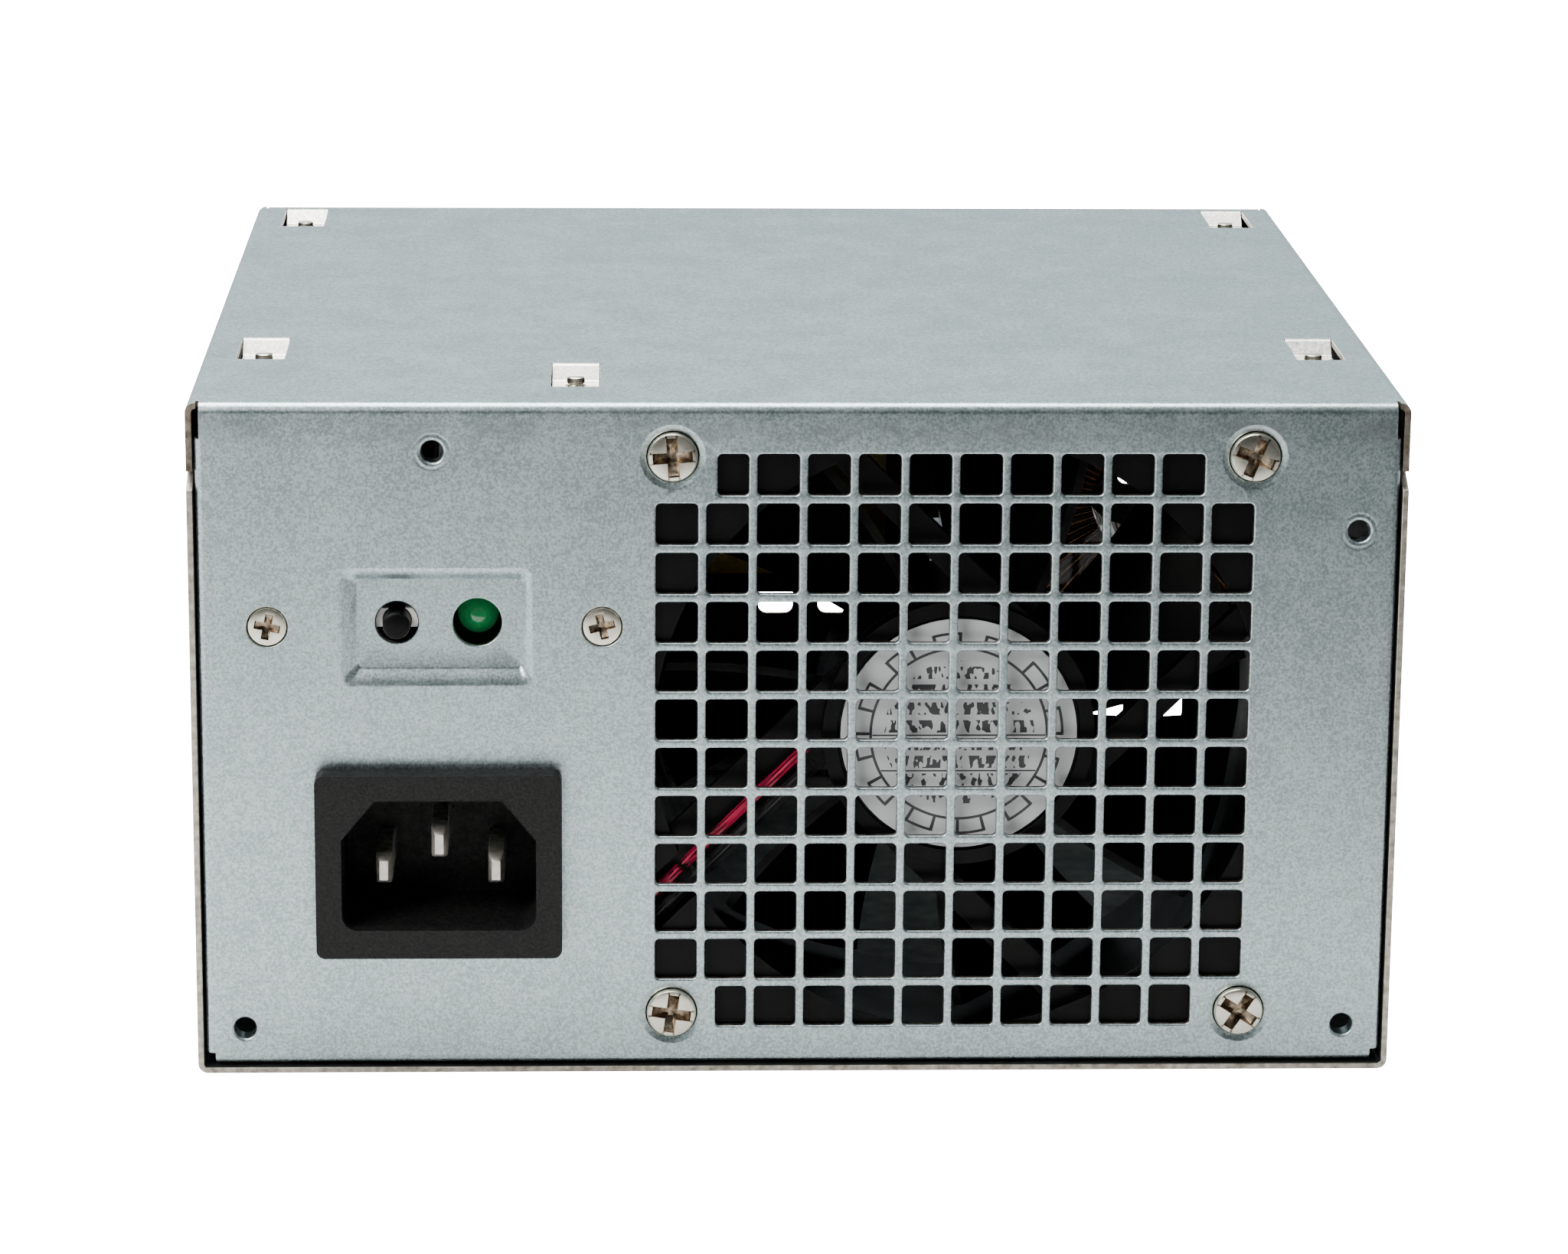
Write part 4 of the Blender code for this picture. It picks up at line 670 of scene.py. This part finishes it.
def tab_profile(near, far, drop=2.0, steps=4):
    """Side view of a tab pressed down from the tray: shoulder, slope and flat."""
    upper = []
    for s in range(steps + 1):
        t = math.pi / 4 * s / steps
        upper.append((far - math.sin(t) * 1.0, TOP - (1 - math.cos(t)) * 1.0))
    knee = far - drop - 0.6
    for s in range(steps + 1):
        t = math.pi / 4 * (1 - s / steps)
        upper.append((knee + math.sin(t) * 0.8, TOP - drop + (1 - math.cos(t)) * 0.8))
    upper.append((near, TOP - drop))
    lower = [(y - 0.28 if 1 < n < len(upper) - 2 else y, z - SHEET) for n, (y, z) in enumerate(upper)]
    return upper + lower[::-1]


def make_cover():
    """U-shaped cover with cut front corners and lips behind the tray's flanges."""
    radius, base, end = 1.25, 1.25, 70.0
    floor_side = HALF - radius
    sheet = FoldedSheet()
    holes = []
    for number in range(1, 5):
        centre = middle(f"cover_screw_{number}")
        holes.append(below(lambda o: circle(centre.x, centre.y, 3.2 + o, 40), rolled(0.3)))
    floor = [(-floor_side, -end), (floor_side, -end), (floor_side, end), (-floor_side, end)]
    sheet.panel(lambda x, y, depth: (x, y, depth), floor, holes)
    edge = [(end, base), (end, 75.1), (66.3, 77.1), (56.0, 77.1), (56.0, 75.4)]
    outline = edge + [(-y, z) for y, z in reversed(edge)]
    for side in (-1, 1):
        x = side * floor_side
        sheet.bend((x, -end, base), (x, end, base), (0, 0, -1), (side, 0, 0), radius)
        sheet.panel(lambda y, z, depth: (side * (HALF - depth), y, z), outline)
        rise = [(0.0, 75.4, 75.4), (0.1, 75.8, 75.55), (1.0, 76.7, 76.45), (1.2, 77.2, 76.9), (1.2, 82.5, 82.5)]
        rows = []
        for inset, z, inner_z in rise:
            rows.append([sheet.corner((side * (HALF - inset), y, z), (side * (HALF - inset - SHEET), y, inner_z))
                         for y in (-56.0, 56.0)])
        for (a, b), (c, d) in zip(rows, rows[1:]):
            sheet.faces.append([a, b, d, c])
    dress(plain("cover_shell", sheet.build()), [STEEL, CUT_EDGE, SHADED_INNER_STEEL],
          stands_for=["cover"], edge=0.12, edge_angle=55)


# ---- screws ------------------------------------------------------------------------------
def make_screw(node, turn, height, recess, pitch=0.7):
    """A cross-recess pan-head screw in place of a CAD screw; its head is at the low end of its axis."""
    low, high = span(node)
    size = high - low
    axis = "Y" if recess[0] in ("fan", "bracket") else "Z"
    head = size.x / 2
    length = size.y if axis == "Y" else size.z
    shank = {"fan": 1.8, "bracket": 1.3, "cover": 1.4, "board": 1.15}[recess[0]]
    profile = [(0.0, 0.0)]
    for share, drop in ((0.50, 0.01), (0.82, 0.03), (0.93, 0.10), (0.98, 0.26), (1.0, 0.50)):
        profile.append((head * share, height * drop))
    profile += [(head, height), (shank, height)]
    for thread in range(int((length - height - 0.4) / pitch)):
        start = height + 0.2 + thread * pitch
        profile += [(shank * 0.8, start), (shank, start + pitch * 0.4), (shank, start + pitch * 0.5)]
    profile += [(shank * 0.95, length - 0.12), (shank * 0.8, length), (0.0, length)]
    screw = plain(node + "_turned", turned(profile))
    _, reach, wide, depth = recess
    for quarter in (0, 1):
        arm = bmesh.new()
        rings = []
        for level, length_share, width_share in ((-0.3, 1.0, 1.0), (depth * 0.45, 0.84, 0.74), (depth, 0.35, 0.4)):
            u, v = reach * length_share, wide * width_share
            rings.append([(-u, -v, level), (u, -v, level), (u, v, level), (-u, v, level)])
        loft(arm, rings)
        arm.transform(Matrix.Rotation(math.pi / 2 * quarter, 4, "Z"))
        combine(screw, "DIFFERENCE", arm)
    # Faces of the cross recess take the second, darker material, which is painted shade.
    for polygon in screw.data.polygons:
        away = math.hypot(polygon.center.x, polygon.center.y) / MM
        if away < reach * 1.02 and 0.05 < polygon.center.z / MM < depth + 0.1:
            polygon.material_index = 1
    spin = Matrix.Rotation(math.radians(turn), 4, "Z")
    lay = Matrix.Rotation(math.radians(-90), 4, "X") if axis == "Y" else Matrix.Identity(4)
    centre = (low + high) / 2
    base = Vector((centre.x, low.y, centre.z)) if axis == "Y" else Vector((centre.x, centre.y, low.z))
    screw.data.transform(Matrix.Translation(base * MM) @ lay @ spin)
    return dress(screw, [NICKEL, SHADED_RECESS], stands_for=[node], edge=0.06, edge_angle=38)


def make_screws():
    for number, turn in enumerate((8.0, -4.0, 33.0, 22.0), 1):
        make_screw(f"fan_screw_{number}", turn, 1.25, ("fan", 2.6, 0.76, 1.4))
    for number, turn in enumerate((12.0, -14.0), 1):
        make_screw(f"bracket_screw_{number}", turn, 0.9, ("bracket", 1.72, 0.56, 1.0))
    for number in range(1, 5):
        make_screw(f"cover_screw_{number}", 40.0 * number, 0.8, ("cover", 1.7, 0.5, 0.7))
    for number in range(1, 6):
        make_screw(f"board_screw_{number}", 31.0 * number, 1.8, ("board", 1.7, 0.55, 1.2), 0.6)


# ---- lamp and test button ----------------------------------------------------------------
def make_status_pieces():
    low, high = span("status_led")
    radius = 2.5
    dome = low.y + radius
    turns = [math.pi / 2 * s / 12 for s in range(13)]
    profile = [(radius * math.sin(t), dome - radius * math.cos(t)) for t in turns]
    profile[0] = (0.0, low.y)
    profile += [(radius, high.y - 1.0), (radius + 0.4, high.y - 1.0), (radius + 0.4, high.y), (0.0, high.y)]
    dress(plain("lamp_lens", turned(profile, (LAMP.x, LAMP.z), "Y")), LENS,
          stands_for=["status_led"], edge=0.08)

    low, high = span("test_button")
    radius = (high.x - low.x) / 2
    profile = [(0.0, low.y), (radius - 0.45, low.y), (radius - 0.15, low.y + 0.12), (radius, low.y + 0.45),
               (radius, high.y), (0.0, high.y)]
    cap = plain("button_cap", turned(profile, (BUTTON.x, BUTTON.z), "Y", 48))
    dress(cap, FAN_BLACK, "button", ["test_button"], edge=0.08)

    face, opening = span("switch_body")[0].y, FRONT + 2.1
    plate = round_rectangle(BUTTON.x, BUTTON.z + 0.35, 2.9, 1.2, 0.3)
    guide = plain("plunger_guide", prism(plate, "Y", opening, face - 0.1))
    bore = circle(BUTTON.x, BUTTON.z, radius + 0.12)
    combine(guide, "DIFFERENCE", prism(bore, "Y", opening - 1.0, face + 1.0))
    dress(guide, WHITE_PLASTIC, edge=0.05)


# ---- mains inlet -------------------------------------------------------------------------
PIN_NAMES = ("line_pin", "neutral_pin", "earth_pin")


def make_inlet():
    low, high = span("inlet_housing")
    flange = round_rectangle(INLET.x, INLET.z, 15.25, 11.8, 1.1, 6)
    shell = plain("inlet_shell", prism(flange, "Y", low.y, low.y + 3.2))
    body = prism(round_rectangle(INLET.x, INLET.z, 13.5, 10.0, 0.4, 3), "Y", low.y + 1.0, high.y)
    combine(shell, "UNION", body)
    left, right, floor, roof = INLET.x - 12.05, INLET.x + 12.05, INLET.z - 8.15, INLET.z + 8.6
    outline = []
    for x, start in ((left + 2.0, 180), (right - 2.0, 270)):
        turns = [math.radians(start + 15 * s) for s in range(7)]
        outline += [(x + 2.0 * math.cos(t), floor + 2.0 + 2.0 * math.sin(t)) for t in turns]
    outline += [(right, roof - 5.1), (right - 4.2, roof), (left + 4.2, roof), (left, roof - 5.1)]
    combine(shell, "DIFFERENCE", prism(outline, "Y", low.y - 1.0, low.y + 16.7))
    slots = []
    for name in PIN_NAMES:
        pin_low, pin_high = span(name)
        centre = (pin_low + pin_high) / 2
        slot = round_rectangle(centre.x, centre.z, 1.04, 2.04, 0.2, 2)
        slots.append(prism(slot, "Y", low.y + 15.7, high.y + 1.0))
    combine(shell, "DIFFERENCE", *slots)
    dress(shell, SOCKET_BLACK, stands_for=["inlet_housing"], edge=0.35, edge_angle=50)

    for name in PIN_NAMES:
        low, high = span(name)
        centre = (low + high) / 2
        back = span("inlet_housing")[1].y
        bm = bmesh.new()
        rings = []
        for y, share_x, share_z in ((low.y, 0.52, 0.62), (low.y + 0.25, 0.66, 0.74),
                                    (low.y + 1.5, 0.98, 0.98), (low.y + 1.9, 1.0, 1.0),
                                    (back + 0.8, 1.0, 1.0), (back + 0.9, 0.4, 0.7), (high.y, 0.4, 0.7)):
            section = round_rectangle(centre.x, centre.z, share_x, 2.0 * share_z, 0.25 * share_x, 2)
            rings.append([(u, y, v) for u, v in section])
        loft(bm, rings)
        dress(plain(name + "_blade", bm), PIN_METAL, stands_for=[name], edge=0)


# ---- fan ---------------------------------------------------------------------------------
HUB, FAN_BORE = 17.0, 38.0
BLADE_COUNT, FIRST_BLADE = 7, math.radians(22.7)


def bar(turn, inner, outer, start, end):
    """Outline of a straight bar tangent to a circle about the fan's axis."""
    turn = math.radians(turn)
    across, along = (math.cos(turn), math.sin(turn)), (-math.sin(turn), math.cos(turn))
    ends = [(inner, start), (outer, start), (outer, end), (inner, end)]
    return [(FAN.x + d * across[0] + t * along[0], FAN.z + d * across[1] + t * along[1]) for d, t in ends]


def make_fan():
    low, high = span("fan_frame")
    centre = (FAN.x, FAN.z)
    half = (high.x - low.x) / 2
    square = round_rectangle(*centre, half, half, 4.0, 6)
    frame_piece = plain("fan_housing", prism(circle(*centre, FAN_BORE + 1.6, 96), "Y", low.y + 1.0, high.y - 1.0))
    combine(frame_piece, "UNION", prism(square, "Y", low.y, low.y + 3.5), prism(square, "Y", high.y - 3.5, high.y))
    bore = prism(circle(*centre, FAN_BORE, 96), "Y", low.y - 1.0, high.y + 1.0)
    places = [middle(f"fan_screw_{n}") for n in range(1, 5)]
    screws = [prism(circle(place.x, place.z, 2.2, 24), "Y", low.y - 1.0, high.y + 1.0) for place in places]
    combine(frame_piece, "DIFFERENCE", bore, *screws)
    face, back = low.y + 1.5, low.y + 4.0
    label_edge = 15.15
    profile = [(0.0, face), (label_edge, face), (label_edge, face - 0.5), (HUB, face - 0.5), (HUB, back), (5.0, back),
               (5.0, -49.5), (3.9, -49.5), (3.9, back - 0.6), (0.0, back - 0.6)]
    combine(frame_piece, "UNION", turned(profile, centre, "Y", 96))
    reach = math.sqrt((FAN_BORE + 0.8) ** 2 - 14.8**2)
    for turn in (45, -45, -135, 135):
        leads = turn == 135
        outline = bar(turn, 8.6 if leads else 13.0, 16.6, 0.0, reach)
        combine(frame_piece, "UNION", prism(outline, "Y", face + (1.4 if leads else 0.2), back - 0.1))
    combine(frame_piece, "DIFFERENCE", prism(bar(135, 8.6, 14.0, 30.0, 62.0), "Y", low.y - 1.0, low.y + 2.9))
    dress(frame_piece, FAN_BLACK, stands_for=["fan_frame"], edge=0.2)

    low, high = span("fan_label")
    radius = (high.x - low.x) / 2
    disc = turned([(0.0, low.y), (radius, low.y), (radius, high.y), (0.0, high.y)], centre, "Y", 96)
    dress(plain("hub_label", disc), LABEL, stands_for=["fan_label"], edge=0.03)


def blade(middle_turn, front, rear):
    """One swept and twisted blade, from inside the rotor cup's wall to its tip."""
    bm = bmesh.new()
    radii = [HUB - 0.6 + (37.2 - HUB + 0.6) * s / 8 for s in range(9)]
    steps = 12
    skins = []
    for side in (-0.5, 0.5):
        skin = []
        for step in range(steps + 1):
            share = step / steps
            depth = front + 1.2 + share * (rear - front - 2.4)
            belly = 0.07 * math.sin(math.pi * share)
            thick = 1.2 * (0.45 + 0.55 * math.sin(math.pi * min(1.0, share * 1.2 + 0.15)))
            row = []
            for radius in radii:
                turn = middle_turn + 0.24 * (radius - HUB) / 37.2 + (share - 0.5) * math.radians(32.0) - belly
                turn += side * thick / radius * 1.3
                row.append(bm.verts.new((FAN.x + radius * math.cos(turn), depth, FAN.z + radius * math.sin(turn))))
            skin.append(row)
        skins.append(skin)
        for one, two in zip(skin, skin[1:]):
            for n in range(8):
                bm.faces.new((one[n], one[n + 1], two[n + 1], two[n]))
    rim = [(0, n) for n in range(9)] + [(s, 8) for s in range(1, steps + 1)]
    rim += [(steps, n) for n in range(7, -1, -1)] + [(s, 0) for s in range(steps - 1, 0, -1)]
    for (s0, n0), (s1, n1) in zip(rim, rim[1:] + rim[:1]):
        bm.faces.new((skins[0][s0][n0], skins[0][s1][n1], skins[1][s1][n1], skins[1][s0][n0]))
    return bm


def make_rotor():
    front, rear = span("fan_frame")[0].y + 4.4, span("fan_rotor")[1].y
    profile = [(0.0, rear), (HUB - 1.4, rear), (HUB - 0.4, rear - 0.4), (HUB, rear - 1.4), (HUB, front),
               (HUB - 1.3, front), (HUB - 1.3, rear - 1.5), (0.0, rear - 1.5)]
    rotor = plain("impeller", turned(profile, (FAN.x, FAN.z), "Y", 72))
    for number in range(BLADE_COUNT):
        combine(rotor, "UNION", blade(FIRST_BLADE + 2 * math.pi * number / BLADE_COUNT, front, rear))
    dress(rotor, FAN_BLACK, "rotor", ["fan_rotor"], edge=0.1)


def make_bushing():
    """The snap-in ring of the cable outlet, with a rolled outer lip."""
    low, high = span("cable_bushing")
    outer = (high.x - low.x) / 2
    bore, neck, shoulder = outer - 5.0, outer - 3.3, REAR + 0.3
    profile = [(bore, low.y), (neck, low.y), (outer - 1.8, low.y + 1.8), (outer - 1.8, low.y + 3.0), (neck, low.y + 3.0),
               (neck, shoulder), (outer, shoulder)]
    for s in range(5):
        t = math.pi / 2 * s / 4
        profile.append((outer - 1.2 + 1.2 * math.cos(t), high.y - 1.2 + 1.2 * math.sin(t)))
    profile += [(bore + 0.5, high.y), (bore, high.y - 0.5)]
    ring = plain("outlet_bushing", turned(profile, (OUTLET.x, OUTLET.z), "Y", 96))
    dress(ring, SOCKET_BLACK, stands_for=["cable_bushing"], edge=0.1)


# ---- the CAD pieces that are shown as they are -------------------------------------------
def finish_cad_pieces():
    looks = {
        # The status bracket inside the case takes the darker steel, which is painted shade.
        SHADED_INNER_STEEL: ["status_bracket"],
        GROUND_STEEL: ["fan_bearing", "fan_stator", "fan_shaft"],
        ALUMINIUM: ["primary_heatsink", "secondary_heatsink"],
        FAN_BLACK: ["switch_body", "power_transistors", "output_rectifiers", "bridge_rectifier"],
        SLEEVE_BLACK: ["fan_lead_black", "status_lead"],
        WHITE_PLASTIC: ["fan_plug", "mains_fuse"],
        BOARD: ["main_board", "control_board", "status_board", "fan_circuit_board"],
        FERRITE: ["fan_magnet", "main_transformer_core", "standby_transformer", "output_inductor_core"],
        TAPE: ["main_transformer_winding", "mains_capacitor"],
        BLUE_SLEEVE: ["bulk_capacitors", "output_capacitors"],
        COPPER: ["mains_choke"],
        TURNS: ["output_inductor_winding"],
        RED: ["fan_lead_red"],
        BROWN: ["line_lead"],
        BLUE: ["neutral_lead"],
        GREEN: ["earth_lead"],
        FILM: ["insulating_film"],
    }
    round_pieces = ("fan_lead_red", "fan_lead_black", "status_lead", "line_lead", "neutral_lead", "earth_lead")
    for look, names in looks.items():
        for name in names:
            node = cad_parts[name]
            node.data.materials.clear()
            node.data.materials.append(look)
            if name in round_pieces:
                finer = node.modifiers.new("round", "SUBSURF")
                finer.levels = finer.render_levels = 2
            else:
                soften(node, 0.12 if name != "insulating_film" else 0.03, 35)


# ---- floor, light and camera -------------------------------------------------------------
def white_for_camera(tree, other, strength):
    """Mixes a shader with plain white for what the camera sees directly."""
    path = tree.nodes.new("ShaderNodeLightPath")
    glow = tree.nodes.new("ShaderNodeEmission")
    glow.inputs["Color"].default_value = (1.0, 1.0, 1.0, 1.0)
    glow.inputs["Strength"].default_value = strength
    mix = tree.nodes.new("ShaderNodeMixShader")
    tree.links.new(path.outputs["Is Camera Ray"], mix.inputs[0])
    tree.links.new(other, mix.inputs[1])
    tree.links.new(glow.outputs[0], mix.inputs[2])
    return mix.outputs[0]


def make_stage():
    white = 30.0
    world = bpy.data.worlds.new("studio")
    bpy.context.scene.world = world
    world.use_nodes = True
    tree = world.node_tree
    sky = tree.nodes["Background"]
    sky.inputs["Color"].default_value = (0.84, 0.97, 1.0, 1.0)
    way = tree.nodes.new("ShaderNodeTexCoord")
    slope = tree.nodes.new("ShaderNodeVectorMath")
    slope.operation = "DOT_PRODUCT"
    slope.inputs[1].default_value = (-0.32, 0.54, 0.12)
    level = tree.nodes.new("ShaderNodeMath")
    level.operation, level.inputs[1].default_value = "ADD", 0.53
    floor_level = tree.nodes.new("ShaderNodeMath")
    floor_level.operation, floor_level.inputs[1].default_value = "MAXIMUM", 0.04
    tree.links.new(way.outputs["Generated"], slope.inputs[0])
    tree.links.new(slope.outputs["Value"], level.inputs[0])
    tree.links.new(level.outputs[0], floor_level.inputs[0])
    tree.links.new(floor_level.outputs[0], sky.inputs["Strength"])
    seen = white_for_camera(tree, sky.outputs[0], white)
    tree.links.new(seen, tree.nodes["World Output"].inputs["Surface"])

    ground = bpy.data.materials.new("floor_painted_shade")
    ground.use_nodes = True
    tree = ground.node_tree
    shader = tree.nodes["Principled BSDF"]
    place = tree.nodes.new("ShaderNodeTexCoord")
    # The floor's colour darkens towards the front right: painted shade for the lamps' falloff, seen only in
    # reflections, since the camera sees plain white.
    away = tree.nodes.new("ShaderNodeVectorMath")
    away.operation, away.inputs[1].default_value = "DOT_PRODUCT", (0.9, -1.0, 0.0)
    shade = tree.nodes.new("ShaderNodeMapRange")
    for name, value in (("From Min", 0.17), ("From Max", 0.47), ("To Min", 0.72), ("To Max", 0.03)):
        shade.inputs[name].default_value = value
    tree.links.new(place.outputs["Object"], away.inputs[0])
    tree.links.new(away.outputs["Value"], shade.inputs["Value"])
    tree.links.new(shade.outputs["Result"], shader.inputs["Base Color"])
    shader.inputs["Roughness"].default_value = 0.9
    seen = white_for_camera(tree, shader.outputs[0], white)
    tree.links.new(seen, tree.nodes["Material Output"].inputs["Surface"])
    bm = bmesh.new()
    reach, low = 3000.0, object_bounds()[0].z / MM - 0.2
    corners = ((-reach, -reach), (reach, -reach), (reach, reach), (-reach, reach))
    bm.faces.new([bm.verts.new((x, y, low)) for x, y in corners])
    floor = plain("floor", bm)
    floor.data.materials.append(ground)

    aim = (case_low + case_high) / 2 * MM
    # Each lamp: name, place, size, power
    lamps = [
        ("key", (-0.45, -0.50, 0.55), 0.45, 6.4),
        ("fill", (0.7, -0.6, 0.35), 0.5, 0.3),
        ("top", (-0.1, 0.08, 0.80), 0.6, 12.0),
    ]
    for name, place, size, power in lamps:
        data = bpy.data.lights.new(name, "AREA")
        data.shape, data.size, data.energy, data.color = "DISK", size, power, (1.0, 0.975, 0.94)
        lamp = bpy.data.objects.new(name, data)
        lamp.location = place
        lamp.rotation_euler = (aim - Vector(place)).to_track_quat("-Z", "Y").to_euler()
        bpy.context.scene.collection.objects.link(lamp)


def make_camera():
    data = bpy.data.cameras.new("view")
    data.lens, data.sensor_width, data.clip_start = 117.8, 36.0, 0.01
    camera = bpy.data.objects.new("view", data)
    camera.location = (-0.02445, -0.68207, 0.21652)
    right, ahead, up = camera_axes(0.253422, 0.0082939, -0.0369368)
    camera.rotation_euler = Matrix((right, up, -ahead)).transposed().to_euler()
    bpy.context.scene.collection.objects.link(camera)
    bpy.context.scene.camera = camera


def camera_axes(tilt, roll, pan):
    """Right, ahead and up of a camera that looks along +Y before it is panned, tilted and rolled."""
    panned = Matrix(((math.cos(pan), math.sin(pan), 0), (-math.sin(pan), math.cos(pan), 0), (0, 0, 1)))
    tilted = Matrix(((1, 0, 0), (0, math.cos(tilt), -math.sin(tilt)), (0, math.sin(tilt), math.cos(tilt))))
    rolled_over = Matrix(((math.cos(roll), 0, math.sin(roll)), (0, 1, 0), (-math.sin(roll), 0, math.cos(roll))))
    return [Vector(row) for row in rolled_over @ tilted @ panned]


make_chassis()
make_cover()
make_screws()
make_status_pieces()
make_inlet()
make_fan()
make_rotor()
make_bushing()
finish_cad_pieces()
make_stage()
make_camera()
